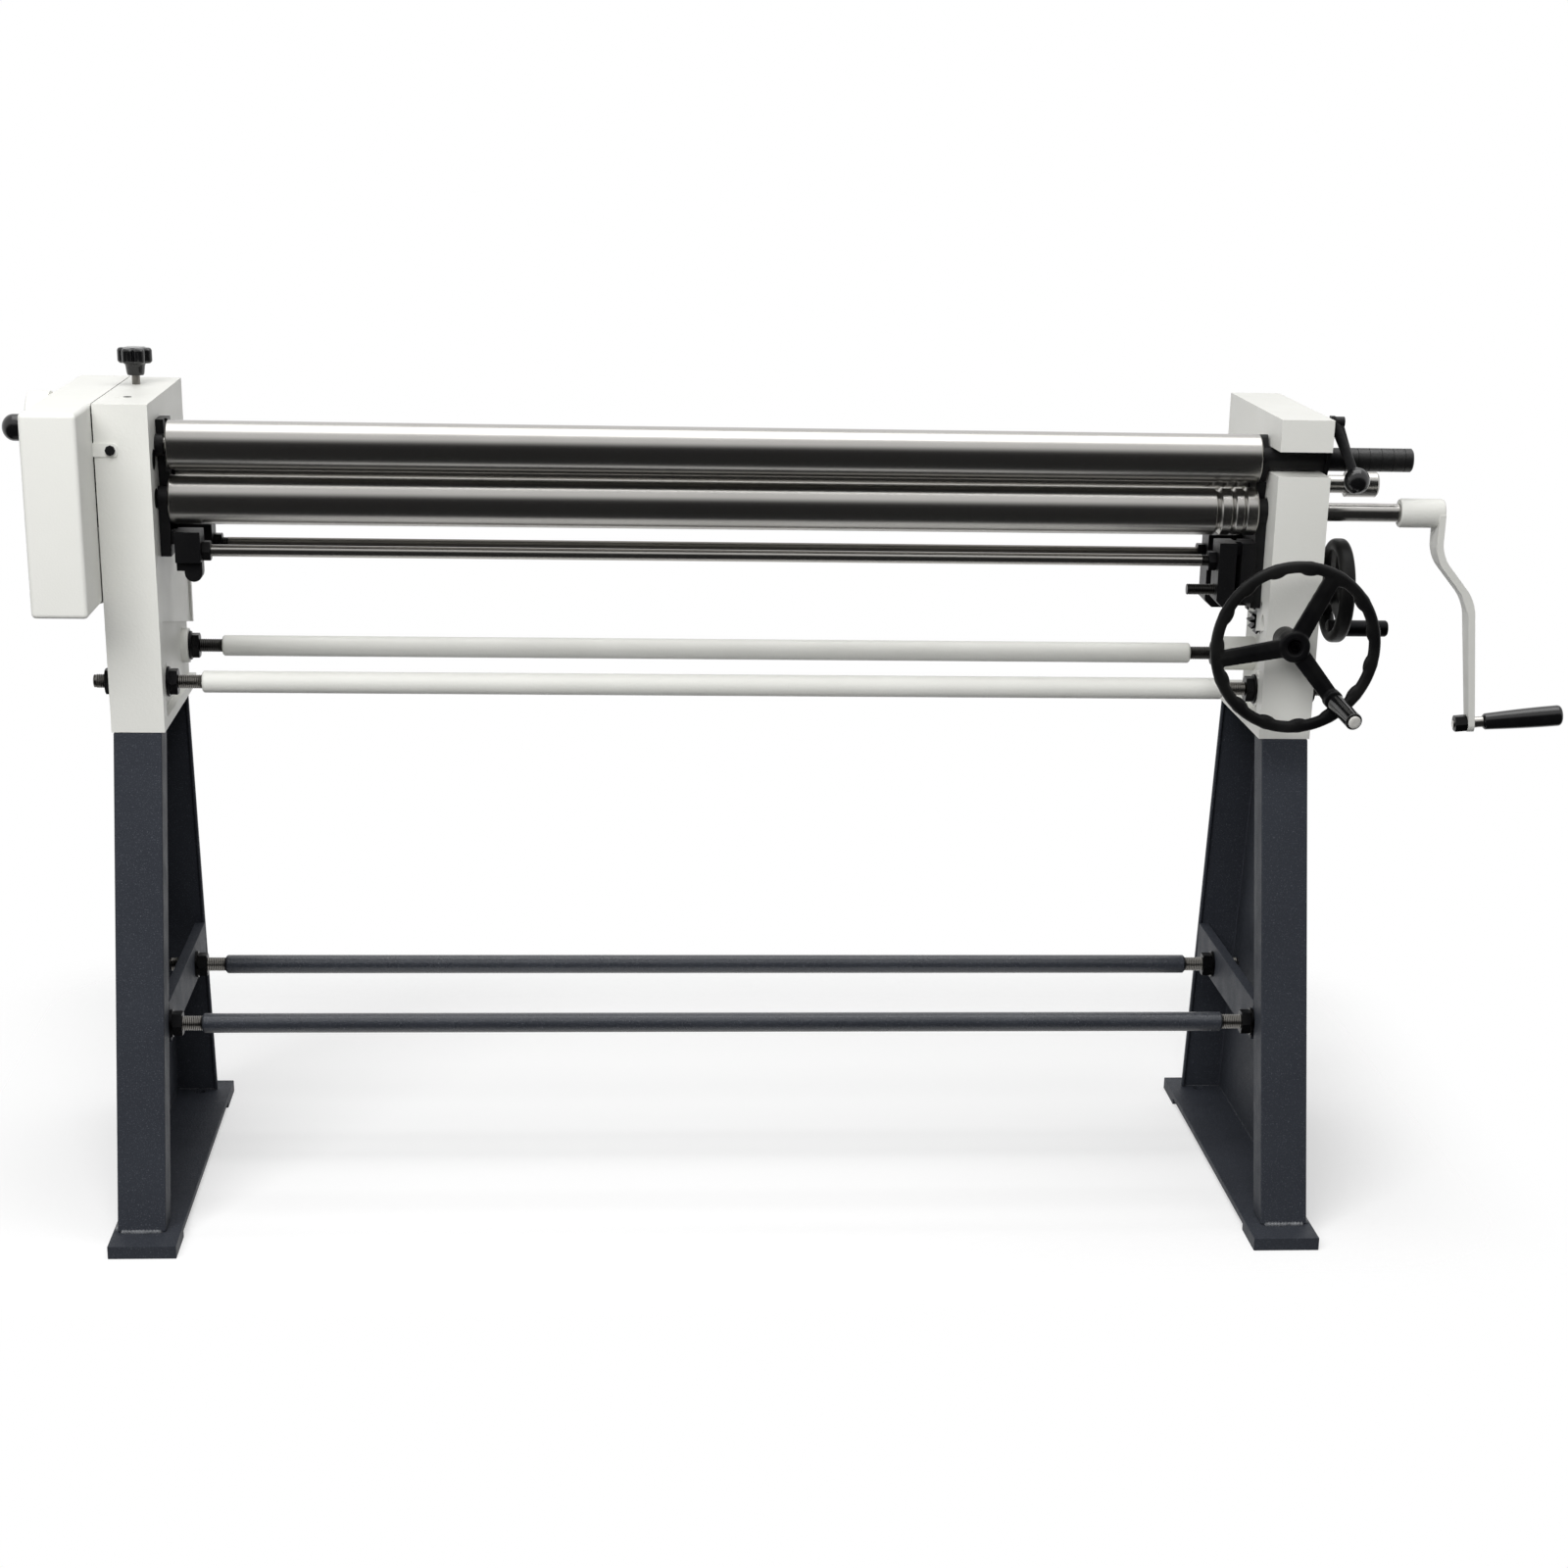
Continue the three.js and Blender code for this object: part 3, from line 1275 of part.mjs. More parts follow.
// Side handwheel group: its local +Z points out along +X
const sideWheel = new THREE.Group();
const sideWheelX = outerFace + sideWheelOffset;
sideWheel.position.set(sideWheelX, rollLineY, sideWheelZ);
sideWheel.rotation.set(quarterTurn, quarterTurn, 0);
root.add(sideWheel);
const sideGripSpot = polar(sideGripAngle, sideGripSet);
const sideHubBack = sideWheelOffset - 2 * seat;

function sideHandwheel() {
  return wheel({
    radius: sideWheelRadius, depth: sideRimDepth, width: sideRimWidth, waveDepth: 0,
    angles: sideSpokeAngles, spokeAcross: sideSpokeWidth, dish: 0, hub: sideHubRadius,
    front: sideHubFront + sideRimWidth, back: sideHubBack, neck: sideHubRadius - rimBevel, bore: screwRadius,
    pinHole: rod('z', gripScrewRadius + seat, -sideRimWidth, sideRimWidth, ...sideGripSpot, smallSides),
  });
}

const sideGripFace = sideRimWidth / 2 + seat;

function sideGripPin() {
  const end = sideGripFace + sideGripLength;
  return turned('z', [
    [0, -sideRimWidth / 2], [gripScrewRadius, -sideRimWidth / 2], [gripScrewRadius, end - seat],
    [0, end - seat],
  ], 0, 0, smallSides);
}

node('side_handwheel', sideHandwheel(), castBlack, sideWheel);
const sideGripShape = wheelGrip(
  sideGripLength, sideGripNeck, sideGripRadius, gripScrewRadius, sideGripFace,
);
for (const [name, shape, material] of [
  ['side_wheel_handle', sideGripShape, darkSteel],
  ['side_handle_pin', sideGripPin(), plainSteel],
]) {
  node(name, shape.translate([...sideGripSpot, 0]), material, sideWheel);
}

function adjustingScrew() {
  const start = innerFace - screwReach;
  const end = sideWheelX + sideHubFront + sideRimWidth - hubSocketDepth - overrun - seat;
  return turned('x', [
    [0, start], [screwRadius - screwThreadChamfer, start], [screwRadius, start + screwThreadChamfer],
    [screwRadius, end], [0, end],
  ], rollLineY, sideWheelZ, midSides);
}

node('adjusting_screw', adjustingScrew(), darkSteel);

// Crank: the arm steps outward and then leans, so that the grip clears the side handwheel
const crankX = crankHubEnd - armThickness;
const bendTop = new THREE.Vector2(crankX, lowerRollZ - armDrop);
const bendFoot = new THREE.Vector2(crankX + armShift, lowerRollZ - armDrop - armShiftDrop);
const armFootZ = lowerRollZ - armThrow;
const leanStep = (bendFoot.y - armFootZ) * Math.tan(armLean);
const armFoot = new THREE.Vector2(bendFoot.x + leanStep, armFootZ);

function armSide() {
  const past = armFootRadius + overrun;
  const inner = [
    [crankX, lowerRollZ], [bendTop.x, bendTop.y], [bendFoot.x, bendFoot.y],
    [armFoot.x + past * Math.tan(armLean), armFoot.y - past],
  ];
  const outer = [
    [armFoot.x + past * Math.tan(armLean) + armThickness, armFoot.y - past],
    [bendFoot.x + armThickness, bendFoot.y + armThickness / 2],
    [bendTop.x + armThickness, bendTop.y + armThickness / 2], [crankX + armThickness, lowerRollZ],
  ];
  return outline([...inner, ...outer]);
}

function armFront() {
  const top = armTopWidth / 2;
  const low = armFootWidth / 2;
  const shape = new THREE.Shape();
  shape.moveTo(rollLineY - top, lowerRollZ + armThickness);
  shape.lineTo(rollLineY - low, armFootZ);
  shape.absarc(rollLineY, armFootZ, low, halfTurn, 2 * halfTurn, false);
  shape.lineTo(rollLineY + top, lowerRollZ + armThickness);
  return shape;
}

// Places along the leaning handle line, measured from the arm's inner face
const gripLine = new THREE.Vector3(Math.cos(gripTilt), 0, Math.sin(gripTilt));
const gripFoot = new THREE.Vector3(armFoot.x, rollLineY, armFoot.y);

function alongGrip(profile, sides = midSides) {
  const points = profile.map(([radius, place]) => new THREE.Vector2(radius, place));
  const geometry = new THREE.LatheGeometry(points, sides);
  geometry.applyQuaternion(new THREE.Quaternion().setFromUnitVectors(new THREE.Vector3(0, 1, 0), gripLine));
  geometry.translate(gripFoot.x, gripFoot.y, gripFoot.z);
  return solid(geometry);
}

function crankArm() {
  const reach = crankHubEnd + armShift + armThrow;
  const flat = push('y', armSide(), rollLineY - armTopWidth, rollLineY + armTopWidth);
  const bar = flat.intersect(push('x', armFront(), rollEnd, reach));
  const hubStart = crankHubEnd - crankHubLength;
  const hub = turned('x', [
    [0, hubStart], [crankHubRadius - journalChamfer / 2, hubStart], [crankHubRadius, hubStart + journalChamfer],
    [crankHubRadius, crankHubEnd - journalChamfer], [crankHubRadius - journalChamfer / 2, crankHubEnd],
    [0, crankHubEnd],
  ], rollLineY, lowerRollZ, fineSides);
  const bore = rod('x', lowerJournalRadius + seat, hubStart - overrun, crankHubEnd - crankHubWall,
    rollLineY, lowerRollZ);
  const spindleHole = alongGrip([[0, -overrun], [spindleRadius + seat, -overrun],
    [spindleRadius + seat, armThickness + overrun], [0, armThickness + overrun]], smallSides);
  return cut(join(bar, hub), bore, spindleHole);
}

function crankSpindle() {
  const start = -(crankNutGap + crankNutLength + spindleStub);
  const collar = armThickness + crankNutGap;
  const end = crankGripStart + crankGripLength / 2;
  return alongGrip([
    [0, start], [spindleRadius, start], [spindleRadius, collar], [spindleNeckRadius, collar],
    [spindleNeckRadius, crankGripStart - seat], [spindleRadius, crankGripStart - seat],
    [spindleRadius, end], [0, end],
  ], smallSides);
}

function crankNut() {
  const shape = hexagon(crankNutAcross, 0, 0);
  const geometry = new THREE.ExtrudeGeometry(shape, { depth: crankNutLength, bevelEnabled: false });
  geometry.applyQuaternion(new THREE.Quaternion().setFromUnitVectors(new THREE.Vector3(0, 0, 1), gripLine));
  const start = gripFoot.clone().addScaledVector(gripLine, -(crankNutGap + crankNutLength));
  geometry.translate(start.x, start.y, start.z);
  const hole = alongGrip([[0, -2 * crankNutLength], [spindleRadius + seat, -2 * crankNutLength],
    [spindleRadius + seat, crankNutLength], [0, crankNutLength]], smallSides);
  return cut(solid(geometry), hole);
}

function crankGrip() {
  const start = crankGripStart;
  const end = start + crankGripLength;
  const body = alongGrip([
    [0, start], [crankGripNeck - crankGripRound / 3, start], [crankGripNeck, start + crankGripRound / 3],
    [(crankGripNeck + crankGripRadius) / 2 + runClear, start + crankGripLength / 2],
    [crankGripRadius, end - 2 * crankGripRound],
    [crankGripRadius - crankGripRound / 4, end - crankGripRound / 2],
    [crankGripRadius - crankGripRound, end], [0, end],
  ]);
  const boreEnd = start + crankGripLength / 2 + overrun;
  const bore = alongGrip([[0, start - overrun], [spindleRadius + seat, start - overrun],
    [spindleRadius + seat, boreEnd], [0, boreEnd]], smallSides);
  return cut(body, bore);
}

// Assembly
for (const side of [-1, 1]) {
  const name = sideName(side);
  node(`${name}_head`, head(side), castWhite);
  node(`${name}_bearing_plate`, bearingPlate(side), castBlack);
  node(`${name}_stand_side`, standSide(side), standPaint);
  node(`${name}_foot`, foot(side), standPaint);
  node(`${name}_brace`, brace(side), standPaint);
  node(`${name}_lower_bearing`, bearingBlock(side, frontLift), castBlack);
  node(`${name}_rear_bearing`, bearingBlock(side, rearLift), castBlack);
  for (const row of tieRows) {
    const inner = tieNut(side * innerFace, -side, tieNutLength, row);
    const outer = tieNut(side * outerFace, side, tieOuterNutLength, row);
    node(`${name}_${row.place}_inner_nut`, inner, darkSteel);
    node(`${name}_${row.place}_outer_nut`, outer, darkSteel);
  }
}
for (const row of tieRows) node(`${row.place}_tie_rod`, tieRod(row), castWhite);
node('front_stand_rod', standRod(standRodFrontY), standPaint);
node('back_stand_rod', standRod(standRodBackY), standPaint);
node('gear_cover', gearCover(), sheetWhite);
node('cover_knob', coverKnob(), plasticBlack);
node('strap_screw', strapScrew(), castBlack);
node('star_knob', starKnob(), plasticBlack);
node('left_front_carriage', frontLeftCarriage(), castBlack);
node('right_front_carriage', frontRightCarriage(), castBlack);
node('left_rear_carriage', rearLeftCarriage(), castBlack);
node('right_rear_carriage', rearRightCarriage(), castBlack);
node('front_sync_bar', syncBar(rollLineY, frontBarZ, leftFront, rightFront), plainSteel);
node('rear_sync_bar', syncBar(rearRollY, rearBarZ, leftRear, rightRear), plainSteel);
node('top_roll', topRoll(), rollSteel);
node('lower_roll', lowerRoll(), rollSteel);
node('rear_roll', rearRoll(), rollSteel);
node('swivel_bush', swivelBush(), darkSteel);
node('right_bearing', rightBearing(), castBlack);
node('roll_grip', rollGrip(), plasticBlack);
node('lock_lever', lockLever(), castBlack);
node('lock_ball', lockBall(), plasticBlack);
node('top_gear', rollGear(topRollZ, topJournalRadius, -quarterTurn - gearSwingBias), darkSteel);
node('lower_gear', rollGear(lowerRollZ, lowerJournalRadius, quarterTurn + halfTurn / gearTeeth), darkSteel);
node('crank_arm', crankArm(), castWhite);
node('crank_spindle', crankSpindle(), plainSteel);
node('crank_nut', crankNut(), darkSteel);
node('crank_grip', crankGrip(), plasticBlack);

// The origin is on the floor, under the middle of the whole machine
root.updateMatrixWorld(true);
const extents = new THREE.Box3().setFromObject(root, true);
const middle = extents.getCenter(new THREE.Vector3());
root.position.set(-middle.x, -middle.y, -extents.min.z);

export default root;
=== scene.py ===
"""Dresses a hand-cranked slip roll: its castings, sheet cover, ground rolls, handwheels and stand.

Each sub-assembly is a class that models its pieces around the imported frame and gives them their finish.
Lengths are in metres, with X along the rolls towards the crank, Y away from the operator and Z up.
"""

import json
import logging
import math
from dataclasses import dataclass, field
from enum import Enum
from typing import Callable, Iterable, Optional, Sequence

import bmesh
import bpy
from mathutils import Matrix, Vector

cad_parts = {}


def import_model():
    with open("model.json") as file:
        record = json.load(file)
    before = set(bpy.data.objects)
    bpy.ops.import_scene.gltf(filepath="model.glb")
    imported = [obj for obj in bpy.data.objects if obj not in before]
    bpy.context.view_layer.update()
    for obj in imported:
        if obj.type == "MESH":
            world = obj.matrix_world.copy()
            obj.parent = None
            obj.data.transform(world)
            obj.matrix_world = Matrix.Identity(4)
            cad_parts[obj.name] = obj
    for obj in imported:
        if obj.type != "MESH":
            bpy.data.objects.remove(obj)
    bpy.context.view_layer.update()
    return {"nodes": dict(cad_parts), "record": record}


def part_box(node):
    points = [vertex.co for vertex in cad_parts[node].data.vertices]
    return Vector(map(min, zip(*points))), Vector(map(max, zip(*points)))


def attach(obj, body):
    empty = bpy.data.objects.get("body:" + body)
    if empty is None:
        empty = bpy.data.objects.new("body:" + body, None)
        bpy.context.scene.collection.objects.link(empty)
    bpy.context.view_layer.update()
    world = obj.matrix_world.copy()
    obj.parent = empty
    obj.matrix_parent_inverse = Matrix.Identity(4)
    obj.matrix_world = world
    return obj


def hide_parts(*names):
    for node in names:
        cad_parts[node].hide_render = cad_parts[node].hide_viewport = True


log = logging.getLogger("slip_roll")

Colour = tuple[float, float, float]
Rings = Sequence[tuple[float, float]]
Socket = bpy.types.NodeSocket

WELD = 0.00001
SMOOTH_BELOW = math.radians(38)
FULL_TURN = 2 * math.pi
FLAT_BELOW = math.radians(0.4)
PLACES = 6
POLE_GAP = 0.4
NUT_CHAMFER = 0.11
NUT_SIDES = 6
CONE_SIDES = 48
RELAX = 0.5
NOISE_ROUGHNESS = 0.5
CLOUD_LAYERS = 4
FINE_LAYERS = 2


class Direction(Enum):
    """The way that a turned piece points from its first ring."""

    RIGHT = (1, 0, 0)
    LEFT = (-1, 0, 0)
    AWAY = (0, 1, 0)
    FRONT = (0, -1, 0)
    UP = (0, 0, 1)
    DOWN = (0, 0, -1)

    @property
    def vector(self) -> Vector:
        """The direction as a unit vector."""
        return Vector(self.value)


class Side(Enum):
    """The machine's two ends."""

    LEFT = -1
    RIGHT = 1

    @property
    def word(self) -> str:
        """The side's name, as the nodes spell it."""
        return self.name.lower()

    @property
    def inward(self) -> Direction:
        """The way from this end to the middle."""
        return Direction.RIGHT if self is Side.LEFT else Direction.LEFT

    @property
    def outward(self) -> Direction:
        """The way from the middle to this end."""
        return Direction.LEFT if self is Side.LEFT else Direction.RIGHT


class Editing:
    """Edit mode on one object, with everything or nothing selected, for the length of a with block."""

    def __init__(self, obj: bpy.types.Object, everything: bool = False) -> None:
        """Takes the object to edit.

        Args:
            obj: the mesh object.
            everything: whether the whole mesh starts selected.
        """
        self.obj = obj
        self.everything = everything

    def __enter__(self) -> "Editing":
        """Enters edit mode."""
        only(self.obj)
        bpy.ops.object.mode_set(mode="EDIT")
        bpy.ops.mesh.select_mode(type="VERT")
        bpy.ops.mesh.select_all(action="SELECT" if self.everything else "DESELECT")
        return self

    def __exit__(self, *problem: object) -> None:
        """Leaves edit mode."""
        bpy.ops.object.mode_set(mode="OBJECT")

    def choose(self, wanted: Callable[[Vector], bool]) -> None:
        """Selects the vertices whose places a test accepts, and nothing else."""
        shape = bmesh.from_edit_mesh(self.obj.data)
        for vertex in shape.verts:
            vertex.select = bool(wanted(vertex.co))
        shape.select_flush_mode()
        bmesh.update_edit_mesh(self.obj.data)

    def choose_faces(self, wanted: Callable[[Vector], bool]) -> None:
        """Selects the faces whose middles a test accepts, and nothing else."""
        shape = bmesh.from_edit_mesh(self.obj.data)
        self.select_only(shape, [face for face in shape.faces if wanted(face.calc_center_median())])

    def choose_edges(self, wanted: Callable[[Vector, Vector, float], bool]) -> int:
        """Selects the edges that a test accepts, and nothing else.

        Args:
            wanted: a function of an edge's two ends and its face angle that says whether it is selected.

        Returns:
            How many were selected.
        """
        shape = bmesh.from_edit_mesh(self.obj.data)
        chosen = [edge for edge in shape.edges
                  if wanted(edge.verts[0].co, edge.verts[1].co, edge.calc_face_angle(0.0))]
        self.select_only(shape, chosen)
        return len(chosen)

    def select_only(self, shape: bmesh.types.BMesh, chosen: Sequence) -> None:
        """Selects these faces or edges of a mesh in edit mode, and nothing else."""
        for element in (*shape.verts, *shape.edges, *shape.faces):
            element.select = False
        for element in chosen:
            element.select_set(True)
        bmesh.update_edit_mesh(self.obj.data)


def only(*objects: bpy.types.Object) -> None:
    """Selects these objects alone, and makes the first one active."""
    bpy.ops.object.select_all(action="DESELECT")
    for obj in objects:
        obj.select_set(True)
    bpy.context.view_layer.objects.active = objects[0]


def settle(obj: bpy.types.Object) -> bpy.types.Object:
    """Moves an object's place, turn and scale into its mesh."""
    only(obj)
    bpy.ops.object.transform_apply(location=True, rotation=True, scale=True)
    return obj


def apply_modifiers(obj: bpy.types.Object) -> None:
    """Applies every modifier of an object, in order."""
    only(obj)
    for modifier in list(obj.modifiers):
        bpy.ops.object.modifier_apply(modifier=modifier.name)


def smooth(obj: bpy.types.Object, angle: float = SMOOTH_BELOW, weighted: bool = True) -> None:
    """Shades an object smooth below an angle, with flat faces kept flat.

    Args:
        obj: the mesh object.
        angle: the edge angle in radians above which an edge stays sharp.
        weighted: whether large faces rule the normals at their edges.
    """
    only(obj)
    bpy.ops.object.shade_smooth_by_angle(angle=angle)
    if weighted:
        flat = obj.modifiers.new("Flat faces", "WEIGHTED_NORMAL")
        flat.keep_sharp = True
        apply_modifiers(obj)


def bevelled(obj: bpy.types.Object, width: float, segments: int = 2) -> None:
    """Rounds an object's sharp edges.

    Args:
        obj: the mesh object.
        width: the size of the rounding.
        segments: how many faces cross it.
    """
    bevel = obj.modifiers.new("Edges", "BEVEL")
    bevel.width = width
    bevel.segments = segments
    bevel.limit_method = "ANGLE"
    bevel.angle_limit = SMOOTH_BELOW
    bevel.use_clamp_overlap = True
    apply_modifiers(obj)


def turned(name: str, start: Vector, direction: Vector, rings: Rings, sides: int = 64) -> bpy.types.Object:
    """Makes a solid of revolution by extruding a disc and resizing it at each ring.

    Args:
        name: the new object's name.
        start: the point on the axis that the rings are measured from.
        direction: the way the axis points.
        rings: distance along the axis and radius of each ring, in order.
        sides: how many sides the rings have.

    Returns:
        The object, with its place in its mesh.
    """
    bpy.ops.object.select_all(action="DESELECT")
    first, radius = rings[0]
    bpy.ops.mesh.primitive_circle_add(vertices=sides, radius=radius, fill_type="NGON",
                                      location=(0, 0, first))
    obj = bpy.context.object
    obj.name = name
    settle(obj)
    with Editing(obj, everything=True):
        for along, wider in rings[1:]:
            step = (0, 0, along - first)
            bpy.ops.mesh.extrude_region_move(TRANSFORM_OT_translate={"value": step})
            share = wider / radius
            bpy.ops.transform.resize(value=(share, share, 1), center_override=(0, 0, along))
            first, radius = along, wider
        bpy.ops.mesh.select_all(action="SELECT")
        bpy.ops.mesh.normals_make_consistent(inside=False)
    turn = Vector((0, 0, 1)).rotation_difference(direction).to_matrix().to_4x4()
    obj.matrix_world = Matrix.Translation(start) @ turn
    return settle(obj)


def block(low: Vector, high: Vector) -> bpy.types.Object:
    """Makes a box between two corners."""
    bpy.ops.object.select_all(action="DESELECT")
    bpy.ops.mesh.primitive_cube_add(size=1, location=(low + high) / 2)
    obj = bpy.context.object
    obj.scale = high - low
    return settle(obj)


def joined(first: bpy.types.Object, *others: bpy.types.Object) -> bpy.types.Object:
    """Joins objects into the first one."""
    only(first, *others)
    bpy.ops.object.join()
    return first


def fused(obj: bpy.types.Object, voxel: float, passes: int) -> bpy.types.Object:
    """Melts overlapping shells into one casting with soft inner corners.

    Args:
        obj: the object that holds the shells.
        voxel: the size of the grid they are melted on.
        passes: how often the result is smoothed.

    Returns:
        The same object.
    """
    melt = obj.modifiers.new("Melt", "REMESH")
    melt.mode = "VOXEL"
    melt.voxel_size = voxel
    melt.use_smooth_shade = True
    relax = obj.modifiers.new("Relax", "SMOOTH")
    relax.factor = RELAX
    relax.iterations = passes
    apply_modifiers(obj)
    return obj


def barrel(start: float, end: float, radius: float, edge: float) -> list[tuple[float, float]]:
    """Rings of a cylinder with a chamfer at both ends.

    Args:
        start: where along the axis it begins.
        end: where it ends.
        radius: its radius.
        edge: the size of its chamfers.

    Returns:
        Its four rings.
    """
    return [(start, radius - edge), (start + edge, radius), (end - edge, radius), (end, radius - edge)]


def dome(reach: float, radius: float, steps: int, start: float,
         inner: float = 0) -> list[tuple[float, float]]:
    """Rings of a rounded end.

    Args:
        reach: how far the dome stands out.
        radius: the radius that it loses from foot to crown.
        steps: how many rings it has.
        start: where along the axis it begins.
        inner: the radius that is left at the crown.

    Returns:
        The rings from foot to crown.
    """
    rings = []
    for step in range(1, steps + 1):
        angle = math.pi / 2 * step / (steps + POLE_GAP)
        rings.append((start + reach * math.sin(angle), inner + radius * math.cos(angle)))
    return rings


def hexagon(name: str, start: Vector, direction: Vector, length: float, radius: float) -> bpy.types.Object:
    """Makes a hexagonal nut with chamfered corners.

    Args:
        name: the new object's name.
        start: the middle of its first face.
        direction: the way that its axis points.
        length: how long it is.
        radius: the distance from its axis to a corner.

    Returns:
        The nut.
    """
    body = turned(name, start, direction, [(0, radius), (length, radius)], NUT_SIDES)
    slope = radius * NUT_CHAMFER
    narrow = radius - slope
    wide = radius + slope
    rings = [(0, narrow), (slope, wide), (length - slope, wide), (length, narrow)]
    cone = turned("chamfer", start, direction, rings, CONE_SIDES)
    cut = body.modifiers.new("Chamfer", "BOOLEAN")
    cut.operation = "INTERSECT"
    cut.solver = "EXACT"
    cut.object = cone
    apply_modifiers(body)
    bpy.data.objects.remove(cone)
    return body


class Tree:
    """A material's node tree under construction."""

    def __init__(self, name: str) -> None:
        """Starts a material with a Principled BSDF and object coordinates.

        Args:
            name: the material's name.
        """
        self.material = bpy.data.materials.new(name)
        self.material.use_nodes = True
        self.tree = self.material.node_tree
        self.shader = self.tree.nodes["Principled BSDF"]
        self.place = self.node("ShaderNodeTexCoord").outputs["Object"]

    @classmethod
    def of_world(cls, world: bpy.types.World) -> "Tree":
        """Starts an empty tree for a world.

        Args:
            world: the world.

        Returns:
            The tree.
        """
        empty = cls.__new__(cls)
        empty.tree = world.node_tree
        empty.tree.nodes.clear()
        return empty

    def node(self, kind: str) -> bpy.types.Node:
        """Adds a node of a kind."""
        return self.tree.nodes.new(kind)

    def maths(self, operation: str, *values: Socket | float) -> Socket:
        """Works out a value from others.

        Args:
            operation: the Math node's operation.
            values: sockets or numbers.

        Returns:
            The value's socket.
        """
        node = self.node("ShaderNodeMath")
        node.operation = operation
        for slot, value in zip(node.inputs, values):
            if isinstance(value, float):
                slot.default_value = value
            else:
                self.join(value, slot)
        return node.outputs["Value"]

    def seen(self) -> Socket:
        """One for camera, glossy and transmission rays, and nought for the rest."""
        rays = self.node("ShaderNodeLightPath").outputs
        either = self.maths("MAXIMUM", rays["Is Camera Ray"], rays["Is Glossy Ray"])
        return self.maths("MAXIMUM", either, rays["Is Transmission Ray"])

    def parts(self, vector: Socket) -> bpy.types.bpy_prop_collection:
        """The outputs X, Y and Z of a vector."""
        split = self.node("ShaderNodeSeparateXYZ")
        self.join(vector, split.inputs["Vector"])
        return split.outputs

    def crossed(self, share: Socket, first: Socket, second: Socket) -> Socket:
        """A shader between two others, by a share."""
        mix = self.node("ShaderNodeMixShader")
        for slot, source in zip(mix.inputs, (share, first, second)):
            self.join(source, slot)
        return mix.outputs["Shader"]

    def join(self, source: Socket, target: Socket) -> None:
        """Links one socket to another."""
        self.tree.links.new(source, target)

    def feed(self, name: str, source: Socket) -> None:
        """Links a socket to one of the shader's inputs."""
        self.join(source, self.shader.inputs[name])

    def give(self, **values: float | Colour) -> None:
        """Sets inputs of the shader, named with underscores for their spaces."""
        for name, value in values.items():
            self.shader.inputs[name.replace("_", " ")].default_value = value

    def dulled(self, value: Socket, rough: float, reach: float, span: tuple[float, float]) -> None:
        """Varies the shader's roughness by a value.

        Args:
            value: the value's socket.
            rough: the roughness in the middle.
            reach: how far it varies to each side.
            span: the part of the value's range that it follows.
        """
        self.feed("Roughness", self.spread(value, rough - reach, rough + reach, *span))

    def stretched(self, scales: Sequence[float]) -> Socket:
        """Object coordinates, scaled along each axis."""
        mapping = self.node("ShaderNodeMapping")
        mapping.inputs["Scale"].default_value = scales
        self.join(self.place, mapping.inputs["Vector"])
        return mapping.outputs["Vector"]

    def noise(self, scale: float, detail: float = 3, source: Optional[Socket] = None) -> Socket:
        """A noise value between 0 and 1.

        Args:
            scale: cycles per metre, or per unit of the source.
            detail: how many finer layers it has.
            source: coordinates other than the object's own.

        Returns:
            The value's socket.
        """
        node = self.node("ShaderNodeTexNoise")
        node.inputs["Scale"].default_value = scale
        node.inputs["Detail"].default_value = detail
        node.inputs["Roughness"].default_value = NOISE_ROUGHNESS
        self.join(source or self.place, node.inputs["Vector"])
        return node.outputs["Fac"]

    def spread(self, value: Socket, low: float, high: float, start: float = 0,
               end: float = 1, smooth: bool = False) -> Socket:
        """Maps a value from one range to another, held at its ends.

        Args:
            value: the value's socket.
            low: the result at the range's start.
            high: the result at its end.
            start: where the value's range starts.
            end: where it ends.
            smooth: whether the step between is soft.

        Returns:
            The result's socket.
        """
        node = self.node("ShaderNodeMapRange")
        node.interpolation_type = "SMOOTHSTEP" if smooth else "LINEAR"
        for name, number in (("From Min", start), ("From Max", end), ("To Min", low), ("To Max", high)):
            node.inputs[name].default_value = number
        self.join(value, node.inputs["Value"])
        return node.outputs["Result"]

    def blend(self, share: Socket, first: Socket | Colour, second: Colour) -> Socket:
        """A colour between two, by a share, the first of which may be a socket."""
        node = self.node("ShaderNodeMix")
        node.data_type = "RGBA"
        self.join(share, node.inputs["Factor"])
        if isinstance(first, tuple):
            node.inputs["A"].default_value = (*first, 1)
        else:
            self.join(first, node.inputs["A"])
        node.inputs["B"].default_value = (*second, 1)
        return node.outputs["Result"]

    def relief(self, height: Socket, depth: float, under: Optional[Socket] = None) -> Socket:
        """A bump from a height between 0 and 1.

        Args:
            height: the height's socket.
            depth: how deep a height of 1 is.
            under: the normal of a coarser bump below it.

        Returns:
            The normal's socket.
        """
        node = self.node("ShaderNodeBump")
        node.inputs["Strength"].default_value = 1
        node.inputs["Distance"].default_value = depth
        self.join(height, node.inputs["Height"])
        if under:
            self.join(under, node.inputs["Normal"])
        return node.outputs["Normal"]


